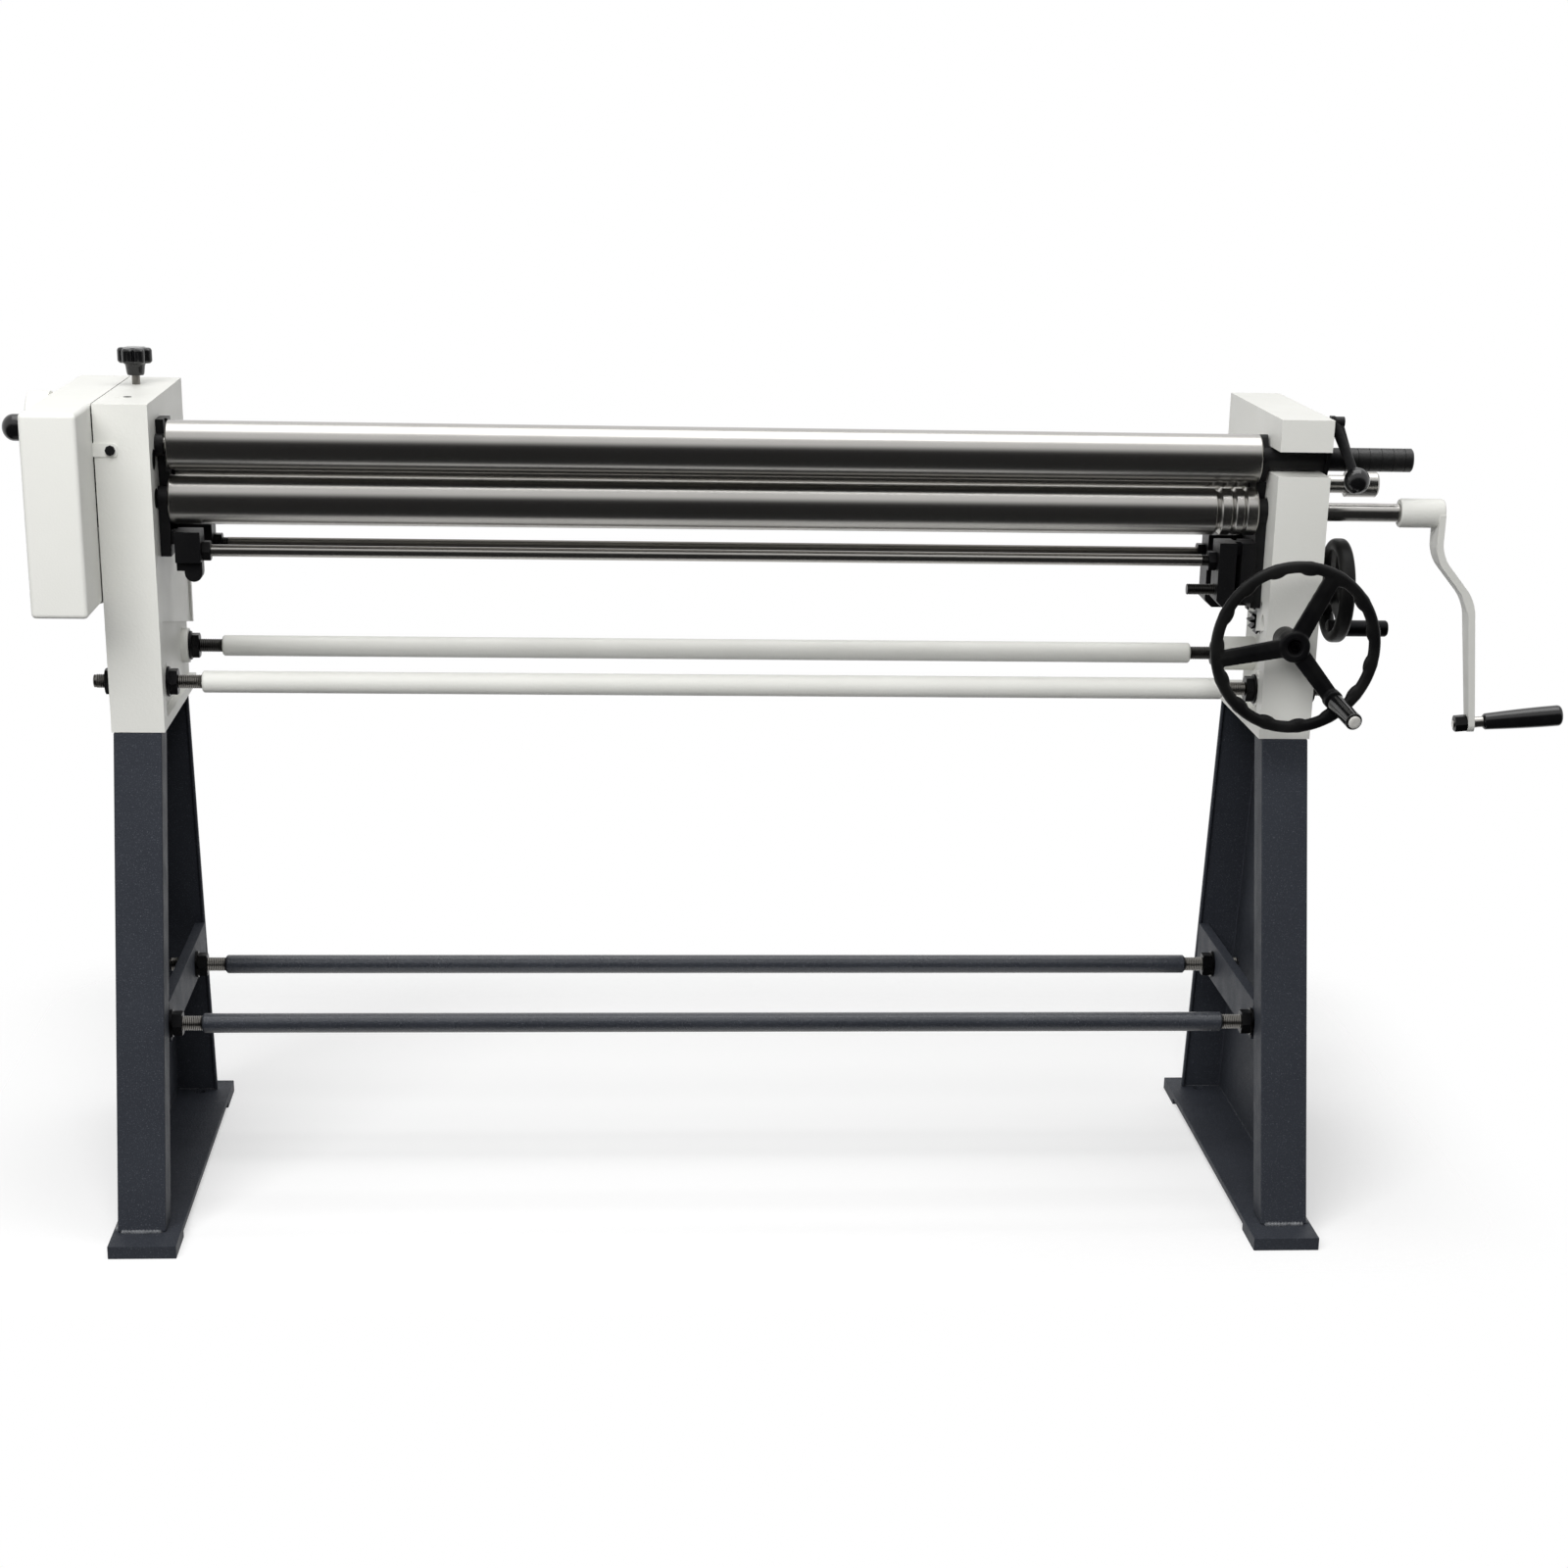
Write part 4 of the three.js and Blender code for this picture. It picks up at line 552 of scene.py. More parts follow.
@dataclass(frozen=True)
class Paint:
    """Sprayed paint: faint clouds, orange peel over a fine cast texture, and specks if it has any."""

    name: str
    slot: str
    colour: Colour
    shade: Colour
    rough: float
    peel_scale: float
    peel_depth: float
    grain_scale: float
    grain_depth: float
    coat: float = 0
    coat_rough: float = 0.18
    specular: float = 0.5
    specks: Optional[Colour] = None
    speck_scale: float = 900
    speck_span: tuple[float, float] = (0.6, 0.74)
    cloud_scale: float = 7
    cloud_span: tuple[float, float] = (0.35, 0.7)
    patch_scale: float = 30
    patch_span: tuple[float, float] = (0.3, 0.7)
    patch_reach: float = 0.06

    def build(self) -> bpy.types.Material:
        """Makes the material."""
        tree = Tree(self.name)
        cloud = tree.spread(tree.noise(self.cloud_scale, CLOUD_LAYERS), 0, 1, *self.cloud_span)
        tint = tree.blend(cloud, self.colour, self.shade)
        if self.specks:
            spots = tree.spread(tree.noise(self.speck_scale, FINE_LAYERS), 0, 1, *self.speck_span)
            tint = tree.blend(spots, tint, self.specks)
        tree.feed("Base Color", tint)
        tree.dulled(tree.noise(self.patch_scale), self.rough, self.patch_reach, self.patch_span)
        peel = tree.relief(tree.noise(self.peel_scale, FINE_LAYERS), self.peel_depth)
        tree.feed("Normal", tree.relief(tree.noise(self.grain_scale), self.grain_depth, peel))
        tree.give(Specular_IOR_Level=self.specular, Coat_Weight=self.coat, Coat_Roughness=self.coat_rough)
        return tree.material


@dataclass(frozen=True)
class Metal:
    """Machined metal: fine tool marks round the piece, cloudy oil marks and small stains."""

    name: str
    slot: str
    colour: Colour
    stain: Colour
    rough: float
    marks: tuple[float, float, float]
    mark_depth: float
    anisotropy: float = 0
    mark_span: tuple[float, float] = (0.3, 0.7)
    mark_reach: float = 0.05
    cloud_scale: float = 9
    stain_span: tuple[float, float] = (0.45, 0.85)
    stain_share: float = 0.55

    def build(self) -> bpy.types.Material:
        """Makes the material."""
        tree = Tree(self.name)
        tree.give(Metallic=1, Anisotropic=self.anisotropy)
        lines = tree.noise(1, FINE_LAYERS, tree.stretched(self.marks))
        wear = tree.spread(tree.noise(self.cloud_scale, CLOUD_LAYERS), 0, self.stain_share, *self.stain_span)
        tree.feed("Base Color", tree.blend(wear, self.colour, self.stain))
        tree.dulled(lines, self.rough, self.mark_reach, self.mark_span)
        tree.feed("Normal", tree.relief(lines, self.mark_depth))
        return tree.material


@dataclass(frozen=True)
class Moulded:
    """Moulded phenolic: near black, glossy, with faint flow marks and handling marks."""

    name: str
    slot: str
    colour: Colour
    worn: Colour
    rough: float
    ripple: float
    coat: float = 0.4
    coat_rough: float = 0.1
    flow_scale: float = 60
    flow_span: tuple[float, float] = (0.5, 0.8)
    mark_scale: float = 220
    mark_span: tuple[float, float] = (0.35, 0.7)
    mark_reach: float = 0.06
    ripple_scale: float = 350

    def build(self) -> bpy.types.Material:
        """Makes the material."""
        tree = Tree(self.name)
        flow = tree.spread(tree.noise(self.flow_scale, CLOUD_LAYERS), 0, 1, *self.flow_span)
        tree.feed("Base Color", tree.blend(flow, self.colour, self.worn))
        tree.dulled(tree.noise(self.mark_scale), self.rough, self.mark_reach, self.mark_span)
        tree.feed("Normal", tree.relief(tree.noise(self.ripple_scale, FINE_LAYERS), self.ripple))
        tree.give(Coat_Weight=self.coat, Coat_Roughness=self.coat_rough)
        return tree.material


Finish = Paint | Metal | Moulded

CAST_WHITE = Paint("cast white enamel", "cast_white", (0.78, 0.78, 0.74), (0.74, 0.74, 0.70), 0.45,
                   320, 0.00025, 1500, 0.0001)
SHEET_WHITE = Paint("sheet white enamel", "sheet_white", (0.81, 0.81, 0.77), (0.785, 0.785, 0.745), 0.42,
                    420, 0.00015, 1800, 0.00004)
CAST_BLACK = Paint("black casting enamel", "cast_black", (0.005, 0.005, 0.0055), (0.009, 0.009, 0.0095),
                   0.42, 260, 0.0004, 1200, 0.0002, specular=0.25)
# Painted shade: a matte black for the thin discs that stand in for the dark inside of drilled holes.
PAINTED_HOLE_SHADE = Paint("bare black recess", "cast_black", (0.002, 0.002, 0.002), (0.004, 0.004, 0.004), 0.7,
                   260, 0.0001, 1200, 0.0001, specular=0.1)
WHEEL_BLACK = Paint("polished black wheel", "cast_black", (0.004, 0.004, 0.0045), (0.014, 0.014, 0.0135),
                    0.38, 150, 0.0003, 900, 0.00008, specular=0.13, cloud_scale=18)
STAND_PAINT = Paint("dark blue-grey stand paint", "stand_paint", (0.028, 0.031, 0.039),
                    (0.034, 0.038, 0.047), 0.56, 380, 0.0004, 1300, 0.00012, specular=0.15,
                    specks=(0.10, 0.108, 0.125))
ROD_PAINT = Paint("glossy dark rod paint", "stand_paint", (0.026, 0.029, 0.037), (0.034, 0.038, 0.047), 0.3,
                  380, 0.0006, 1300, 0.0003, coat=0.35, specks=(0.12, 0.128, 0.145))
PLATED = Paint("bright plated screw", "plain_steel", (0.66, 0.65, 0.62), (0.56, 0.55, 0.52), 0.3,
               300, 0.00005, 1500, 0.00004, specular=0.7, cloud_scale=120)
# Painted sheen: the paint over the weld beads is much lighter than the stand paint, standing in for the
# glint off the glossy beads.
WELD_PAINT_WITH_SHEEN = Paint("paint over weld", "stand_paint", (0.13, 0.136, 0.148), (0.035, 0.039, 0.047),
                   0.22, 380, 0.0006, 700, 0.0004, coat=0.6, cloud_scale=90)
ROLL_STEEL = Metal("ground roll steel", "roll_steel", (0.46, 0.45, 0.43), (0.40, 0.39, 0.37), 0.26,
                   (2600, 3, 3), 0.0000018, anisotropy=0.3, mark_reach=0.012)
PLAIN_STEEL = Metal("bright turned steel", "plain_steel", (0.48, 0.465, 0.44), (0.38, 0.365, 0.34), 0.25,
                    (2200, 12, 12), 0.0000018, mark_reach=0.014)
DULL_STEEL = Metal("dull turned steel", "plain_steel", (0.22, 0.21, 0.195), (0.15, 0.145, 0.135), 0.3,
                   (2200, 12, 12), 0.000003, mark_reach=0.02)
DARK_STEEL = Metal("blackened steel", "dark_steel", (0.016, 0.016, 0.017), (0.030, 0.029, 0.027), 0.4,
                   (700, 700, 90), 0.00006)
THREAD_BLACK = Metal("blackened thread", "dark_steel", (0.045, 0.044, 0.042), (0.07, 0.068, 0.064), 0.34,
                     (900, 60, 60), 0.00003)
PHENOLIC = Moulded("black phenolic", "plastic_black", (0.004, 0.004, 0.0045), (0.007, 0.007, 0.0075),
                   0.18, 0.00005, coat=0.2)
RUBBED = Moulded("rubbed black sleeve", "plastic_black", (0.009, 0.009, 0.009), (0.015, 0.0145, 0.014),
                 0.42, 0.0002, coat=0)


@dataclass
class Machine:
    """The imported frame, with its nodes and bodies by name."""

    nodes: dict[str, bpy.types.Object]
    bodies: dict[str, list[str]]
    finishes: dict[str, bpy.types.Material] = field(default_factory=dict)
    count: int = 0

    def body(self, node: str) -> str:
        """The body that a node belongs to."""
        return next(name for name, group in self.bodies.items() if node in group)

    def measured(self, node: str) -> tuple[Vector, Vector, Vector]:
        """The lowest corner, highest corner and middle of a node's box."""
        low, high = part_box(node)
        return low, high, (low + high) / 2

    def middle(self, node: str) -> Vector:
        """The middle of a node's box."""
        return self.measured(node)[2]

    def spine(self, node: str, line: Vector) -> Vector:
        """Finds where a round, straight node starts on its own axis.

        Args:
            node: the node.
            line: the way its axis points.

        Returns:
            The first point of the axis.
        """
        vertices = self.nodes[node].data.vertices
        corners = {tuple(round(value, PLACES) for value in vertex.co) for vertex in vertices}
        places = [Vector(corner) for corner in corners]
        middle = sum(places, Vector()) / len(places)
        return middle + line * min((place - middle).dot(line) for place in places)

    def reach(self, node: str, line: Vector) -> float:
        """How long a node is along a line."""
        along = [vertex.co.dot(line) for vertex in self.nodes[node].data.vertices]
        return max(along) - min(along)

    def dress(self, obj: bpy.types.Object, finish: Finish, node: str,
              stands_for: Iterable[str] = ()) -> None:
        """Gives a finished piece its material and its body.

        Args:
            obj: the piece, with its place in its mesh.
            finish: what it is finished in.
            node: the node whose body it rides on.
            stands_for: the nodes that it replaces.
        """
        if finish.name not in self.finishes:
            self.finishes[finish.name] = finish.build()
        obj.data.materials.clear()
        obj.data.materials.append(self.finishes[finish.name])
        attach(obj, self.body(node))
        if stands_for:
            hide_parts(*stands_for)
        self.count += 1
        log.info("%s: %d faces, %s", obj.name, len(obj.data.polygons), finish.name)

    def shaded(self, obj: bpy.types.Object, finish: Finish, node: str,
               stands_for: Iterable[str] = ()) -> None:
        """Shades a piece smooth and dresses it, with the arguments of dress."""
        smooth(obj)
        self.dress(obj, finish, node, stands_for)

    def lathe(self, node: str, start: Vector, way: Vector, rings: Rings, finish: Finish,
              sides: int = 64) -> None:
        """Turns the piece that replaces a round node.

        Args:
            node: the node.
            start: the point on the axis that the rings are measured from.
            way: the way that the axis points.
            rings: distance along the axis and radius of each ring, in order.
            finish: what it is finished in.
            sides: how many sides the rings have.
        """
        self.shaded(turned(f"{node}_surface", start, way, rings, sides), finish, node, [node])

    def copied(self, node: str) -> bpy.types.Object:
        """Copies a node's mesh, with its facets merged.

        Args:
            node: the node.

        Returns:
            The copy, with its place in its mesh.
        """
        source = self.nodes[node]
        obj = bpy.data.objects.new(f"{node}_surface", source.data.copy())
        bpy.context.scene.collection.objects.link(obj)
        obj.matrix_world = source.matrix_world
        settle(obj)
        with Editing(obj, everything=True):
            bpy.ops.mesh.customdata_custom_splitnormals_clear()
            bpy.ops.mesh.remove_doubles(threshold=WELD)
            bpy.ops.mesh.dissolve_limited(angle_limit=FLAT_BELOW)
        return obj

    def softened(self, node: str, finish: Finish, edge: float, segments: int = 2) -> None:
        """Copies a node whose shape is right and rounds its edges.

        Args:
            node: the node.
            finish: what it is finished in.
            edge: the size of the rounding.
            segments: how many faces cross it.
        """
        obj = self.copied(node)
        bevelled(obj, edge, segments)
        self.shaded(obj, finish, node, [node])


@dataclass
class Castings:
    """The two heads with their bearing plates, sliding blocks and wedge carriages."""

    machine: Machine
    head_edge: float = 0.0018
    head_steps: int = 3
    plate_edge: float = 0.0008
    block_edge: float = 0.0006
    hole_radius: float = 0.0115
    hole_rise: float = 0.0003
    hole_edge: float = 0.0003
    upper_hole: tuple[float, float] = (-0.0348, 0.9013)
    lower_hole: tuple[float, float] = (-0.0311, 0.8557)
    oil_spot: tuple[float, float] = (-0.8006, 0.0106)
    oil_radius: float = 0.005

    def build(self) -> None:
        """Makes every cast piece of the two ends."""
        for side in Side:
            self.machine.softened(f"{side.word}_head", CAST_WHITE, self.head_edge, self.head_steps)
            self.machine.softened(f"{side.word}_bearing_plate", CAST_BLACK, self.plate_edge)
            for place in ("lower", "rear"):
                self.machine.softened(f"{side.word}_{place}_bearing", CAST_BLACK, self.block_edge)
            for place in ("front", "rear"):
                self.machine.softened(f"{side.word}_{place}_carriage", CAST_BLACK, self.plate_edge)
        self.machine.softened("strap_screw", CAST_BLACK, self.block_edge)
        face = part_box("left_front_inner_nut")[0].x
        # Flat black discs of painted shade stand in for the two sight holes and the oil hole.
        for name, spot in (("upper", self.upper_hole), ("lower", self.lower_hole)):
            self.mouth(f"{name}_sight_hole", Vector((face, *spot)), Direction.RIGHT, self.hole_radius)
        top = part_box("left_head")[1].z
        self.mouth("oil_hole", Vector((*self.oil_spot, top)), Direction.UP, self.oil_radius)

    def mouth(self, name: str, spot: Vector, way: Direction, radius: float) -> None:
        """Makes a thin black disc on the left head, painted shade for the dark inside of a drilled hole.

        Args:
            name: the piece's name.
            spot: its middle on the head's face.
            way: the way that the face points.
            radius: the hole's radius.
        """
        rings = [(-self.hole_rise, radius), (self.hole_rise - self.hole_edge, radius),
                 (self.hole_rise, radius - self.hole_edge)]
        self.machine.shaded(turned(name, spot, way.vector, rings), PAINTED_HOLE_SHADE, "left_head")


@dataclass
class SheetCover:
    """The folded cover over the gears: a box with soft folds, a round boss for its knob, and a strap."""

    machine: Machine
    wall: float = 0.002
    fold: float = 0.0055
    boss_radius: float = 0.043
    boss_depth: float = 0.025
    boss_edge: float = 0.0035
    boss_steps: int = 4
    boss_sides: int = 96
    fold_steps: int = 5
    seam: float = 0.001
    strap_half: float = 0.0078
    strap_end: float = 0.0042
    mouth: float = -0.0645
    overlap: float = 0.001
    strap_gap: float = 0.0003

    def build(self) -> None:
        """Makes the cover."""
        low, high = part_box("gear_cover")
        knob = self.machine.middle("cover_knob")
        shell_low = Vector((low.x + self.boss_depth, low.y, low.z))
        head_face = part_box("left_front_outer_nut")[1].x - self.seam
        shell_high = Vector((head_face, high.y, high.z - self.wall))
        shell = self.shell(shell_low, shell_high)
        edge = self.boss_edge
        rings = [(-self.overlap, self.boss_radius), (self.boss_depth - edge, self.boss_radius)]
        rings += dome(edge, edge, self.boss_steps, self.boss_depth - edge, self.boss_radius - edge)
        boss_foot = Vector((shell_low.x, knob.y, knob.z))
        boss = turned("cover_boss", boss_foot, Direction.LEFT.vector, rings, self.boss_sides)
        strap = self.strap(head_face, high.x)
        cover = joined(shell, boss, strap)
        cover.name = "gear_cover_surface"
        self.machine.shaded(cover, SHEET_WHITE, "gear_cover", ["gear_cover"])

    def shell(self, low: Vector, high: Vector) -> bpy.types.Object:
        """Folds the box, open where the head closes it.

        Args:
            low: its lowest corner.
            high: its highest corner.

        Returns:
            The shell, with its wall's thickness inside.
        """
        obj = block(low, high)
        with Editing(obj, everything=True) as edit:
            bpy.ops.mesh.bisect(plane_co=(0, self.mouth, 0), plane_no=(0, 1, 0))
            bpy.ops.mesh.select_mode(type="FACE")
            edit.choose_faces(lambda middle: middle.x > high.x - WELD and middle.y > self.mouth)
            bpy.ops.mesh.delete(type="FACE")
            bpy.ops.mesh.select_mode(type="EDGE")
            edit.choose_edges(lambda a, b, turn: self.folded(a, b, low, high))
            bpy.ops.mesh.bevel(offset=self.fold, segments=self.fold_steps, affect="EDGES")
        wall = obj.modifiers.new("Sheet", "SOLIDIFY")
        wall.thickness = self.wall
        wall.offset = -1
        apply_modifiers(obj)
        return obj

    def folded(self, first: Vector, second: Vector, low: Vector, high: Vector) -> bool:
        """Says whether an edge is one of the sheet's folds.

        Args:
            first: one end of the edge.
            second: the other end.
            low: the shell's lowest corner.
            high: its highest corner.

        Returns:
            True for an edge where two walls meet.
        """
        walls = 0
        for index in range(3):
            for wall in (low[index], high[index]):
                walls += abs(first[index] - wall) < WELD and abs(second[index] - wall) < WELD
        rim = first.x > high.x - WELD and second.x > high.x - WELD
        behind = max(first.y, second.y) > self.mouth + WELD
        return walls > 1 and not (rim and behind)

    def strap(self, first: float, last: float) -> bpy.types.Object:
        """Makes the small strap that a screw holds to the head.

        Args:
            first: where the cover's sheet meets the head.
            last: where the strap ends.

        Returns:
            The strap.
        """
        screw = self.machine.middle("strap_screw")
        start = Vector((first - self.wall, self.mouth - self.strap_gap - self.wall,
                        screw.z - self.strap_half))
        end = Vector((last, self.mouth - self.strap_gap, screw.z + self.strap_half))
        obj = block(start, end)
        with Editing(obj) as edit:
            bpy.ops.mesh.select_mode(type="EDGE")
            edit.choose_edges(lambda a, b, turn: min(a.x, b.x) > end.x - WELD and abs(a.z - b.z) < WELD)
            bpy.ops.mesh.bevel(offset=self.strap_end, segments=self.fold_steps, affect="EDGES")
        bevelled(obj, self.strap_gap)
        return obj


@dataclass
class Rolls:
    """The three ground rolls, with their journals, wire grooves and centre holes."""

    machine: Machine
    centre_radius: float = 0.003
    centre_tip: float = 0.0004
    centre_depth: float = 0.004
    place_step: float = 0.0001
    radius_step: float = 0.00005
    edge: float = 0.0004
    crisp: float = math.radians(10)
    sides: int = 128

    def build(self) -> None:
        """Makes the three rolls from the profiles that their nodes show."""
        for node in ("top_roll", "lower_roll", "rear_roll"):
            low, _, middle = self.machine.measured(node)
            start = Vector((low.x, middle.y, middle.z))
            obj = turned(f"{node}_surface", start, Direction.RIGHT.vector, self.profile(node), self.sides)
            bevelled(obj, self.edge)
            smooth(obj, self.crisp)
            self.machine.dress(obj, ROLL_STEEL, node, [node])

    def profile(self, node: str) -> list[tuple[float, float]]:
        """Reads a roll's rings off its node.

        Args:
            node: the roll's node.

        Returns:
            Distance from the left end and radius of each ring, with a centre hole at both ends.
        """
        low, high, middle = self.machine.measured(node)
        found: dict[int, set[int]] = {}
        for vertex in self.machine.nodes[node].data.vertices:
            radius = math.hypot(vertex.co.y - middle.y, vertex.co.z - middle.z)
            place = round((vertex.co.x - low.x) / self.place_step)
            found.setdefault(place, set()).add(round(radius / self.radius_step))
        rings: list[tuple[float, float]] = []
        for place in sorted(found):
            sizes = [size * self.radius_step for size in sorted(found[place]) if size > 1]
            if rings and abs(sizes[-1] - rings[-1][1]) < abs(sizes[0] - rings[-1][1]):
                sizes.reverse()
            rings.extend((place * self.place_step, size) for size in sizes)
        length = high.x - low.x
        first = [(self.centre_depth, self.centre_tip), (0, self.centre_radius)]
        last = [(length, self.centre_radius), (length - self.centre_depth, self.centre_tip)]
        return first + rings + last


@dataclass
class Rods:
    """The sync bars, tie rods and stand rods, with their nuts, washers and threads."""

    machine: Machine
    tie_radius: float = 0.013
    tie_half: float = 0.6213
    chamfer: float = 0.002
    tie_stud: float = 0.0084
    stand_radius: float = 0.012
    stand_half: float = 0.6283
    stand_stud: float = 0.009
    sync_radius: float = 0.007
    sync_thread: float = 0.036
    pitch: float = 0.0022
    thread_depth: float = 0.0007
    washer_radius: float = 0.018
    washer_thick: float = 0.003
    washer_edge: float = 0.0006
    hexagon: float = 0.0166
    stand_inner: float = 0.652
    stand_outer: float = 0.6716
    stand_nut: float = 0.012
    stand_hexagon: float = 0.0156
    stand_washer: float = 0.017
    stand_seat: float = 0.003
    sync_nut: float = 0.010
    sync_hexagon: float = 0.0127
    front_insets: tuple[float, float] = (0.027, 0.0185)
    rear_insets: tuple[float, float] = (0.019, 0.028)
    sides: int = 40

    def build(self) -> None:
        """Makes the rods and everything screwed onto them."""
        for place, thread in (("front", DULL_STEEL), ("back", THREAD_BLACK)):
            self.tie_rod(place, thread)
            self.stand_rod(place)
        self.sync_bar("front_sync_bar", PLAIN_STEEL, self.front_insets)
        # Painted shade: the rear bar is the same steel as the front one, finished in darker dull steel
        # because it lies in shadow.
        self.sync_bar("rear_sync_bar", DULL_STEEL, self.rear_insets)
        self.adjusting_screw()

    def threaded(self, name: str, start: Vector, direction: Vector, length: float,
                 radius: float) -> bpy.types.Object:
        """Makes a threaded length with a chamfered end.

        Args:
            name: the piece's name.
            start: where the thread begins.
            direction: the way that it points.
            length: how long it is.
            radius: the radius over the thread's crests.

        Returns:
            The piece.
        """
        turns = int((length - self.pitch) / self.pitch)
        rings = [(0.0, radius - self.thread_depth)]
        for turn in range(turns):
            along = self.pitch * (turn + 0.5)
            rings += [(along, radius), (along + self.pitch / 2, radius - self.thread_depth)]
        rings += [(length - self.thread_depth, radius - self.thread_depth), (length, radius - self.pitch)]
        return turned(name, start, direction, rings, self.sides)

    def nut(self, node: str, side: Side, inner: bool) -> None:
        """Makes a washer and a chamfered hexagonal nut inside a node's box.

        Args:
            node: the nut's node.
            side: the end of the machine that it is on.
            inner: whether it bears on the inner face of the end.
        """
        low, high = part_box(node)
        way = (side.inward if inner else side.outward).vector
        start = self.machine.middle(node) - way * (high.x - low.x) / 2
        rings = barrel(0, self.washer_thick, self.washer_radius, self.washer_edge)
        washer = turned(f"{node}_surface", start, way, rings)
        body = hexagon(node, start + way * self.washer_thick, way,
                       high.x - low.x - self.washer_thick, self.hexagon)
        self.machine.shaded(joined(washer, body), DARK_STEEL, node, [node])

    def rod(self, node: str, half: float, radius: float, edge: float, finish: Finish, stud: float,
            thread: Metal) -> None:
        """Makes a chamfered rod with a threaded stud at each end.

        Args:
            node: the rod's node.
            half: how far its plain length reaches from the middle.
            radius: its radius.
            edge: the size of its chamfers, by which the studs reach into it.
            finish: what it is finished in.
            stud: the radius over the threads' crests.
            thread: what the studs are finished in.
        """
        low, high, middle = self.machine.measured(node)
        rings = barrel(-half, half, radius, edge)
        self.machine.lathe(node, middle, Direction.RIGHT.vector, rings, finish)
        start = half - edge
        self.studs(node, middle, start, (high.x - low.x) / 2 - start, stud, thread)

    def tie_rod(self, place: str, thread: Metal) -> None:
        """Makes a white tie rod with its studs and nuts.

        Args:
            place: front or back.
            thread: what its studs are finished in.
        """
        self.rod(f"{place}_tie_rod", self.tie_half, self.tie_radius, self.chamfer, CAST_WHITE,
                 self.tie_stud, thread)
        for side in Side:
            for where in ("inner", "outer"):
                self.nut(f"{side.word}_{place}_{where}_nut", side, where == "inner")

    def studs(self, node: str, middle: Vector, start: float, length: float, radius: float,
              finish: Metal) -> None:
        """Makes the threaded ends of a rod.

        Args:
            node: the rod's node.
            middle: the middle of the rod.
            start: how far from the middle the threads begin.
            length: how long each is.
            radius: the radius over the crests.
            finish: what they are finished in.
        """
        for side in Side:
            way = side.outward.vector
            stud = self.threaded(f"{side.word}_{node}_thread", middle + way * start, way, length, radius)
            self.machine.shaded(stud, finish, node)

    def stand_rod(self, place: str) -> None:
        """Makes a dark rod between the stand's sides, with its studs, nuts and washers.

        Args:
            place: front or back.
        """
        node = f"{place}_stand_rod"
        self.rod(node, self.stand_half, self.stand_radius, self.chamfer, ROD_PAINT, self.stand_stud,
                 DULL_STEEL)
        middle = self.machine.middle(node)
        for side in Side:
            way = side.outward.vector
            nuts = [hexagon(f"{side.word}_{node}_nuts", middle + way * spot, way, self.stand_nut,
                            self.stand_hexagon) for spot in (self.stand_inner, self.stand_outer)]
            washer = turned("washer", middle + way * (self.stand_inner + self.stand_nut), way,
                            [(0, self.stand_washer), (self.stand_seat, self.stand_washer)])
            self.machine.shaded(joined(*nuts, washer), DARK_STEEL, node)

    def sync_bar(self, node: str, finish: Metal, insets: tuple[float, float]) -> None:
        """Makes a thin bar that ties the two carriages, with its threaded ends and nuts.

        Args:
            node: the bar's node.
            finish: what the plain middle is finished in.
            insets: how far from each end its nut sits.
        """
        low, high, middle = self.machine.measured(node)
        half = (high.x - low.x) / 2
        edge = self.washer_edge
        self.rod(node, half - self.sync_thread + edge, self.sync_radius, edge, finish, self.sync_radius,
                 THREAD_BLACK)
        for side, inset in zip(Side, insets):
            way = side.outward.vector
            nut = hexagon(f"{side.word}_{node}_nut", middle + way * (half - inset), -way, self.sync_nut,
                          self.sync_hexagon)
            self.machine.shaded(nut, DARK_STEEL, node)

    def adjusting_screw(self) -> None:
        """Makes the long threaded screw of the side wheel."""
        node = "adjusting_screw"
        low, high, middle = self.machine.measured(node)
        start = Vector((low.x, middle.y, middle.z))
        screw = self.threaded(f"{node}_surface", start, Direction.RIGHT.vector, high.x - low.x,
                              (high.z - low.z) / 2)
        self.machine.shaded(screw, THREAD_BLACK, node, [node])


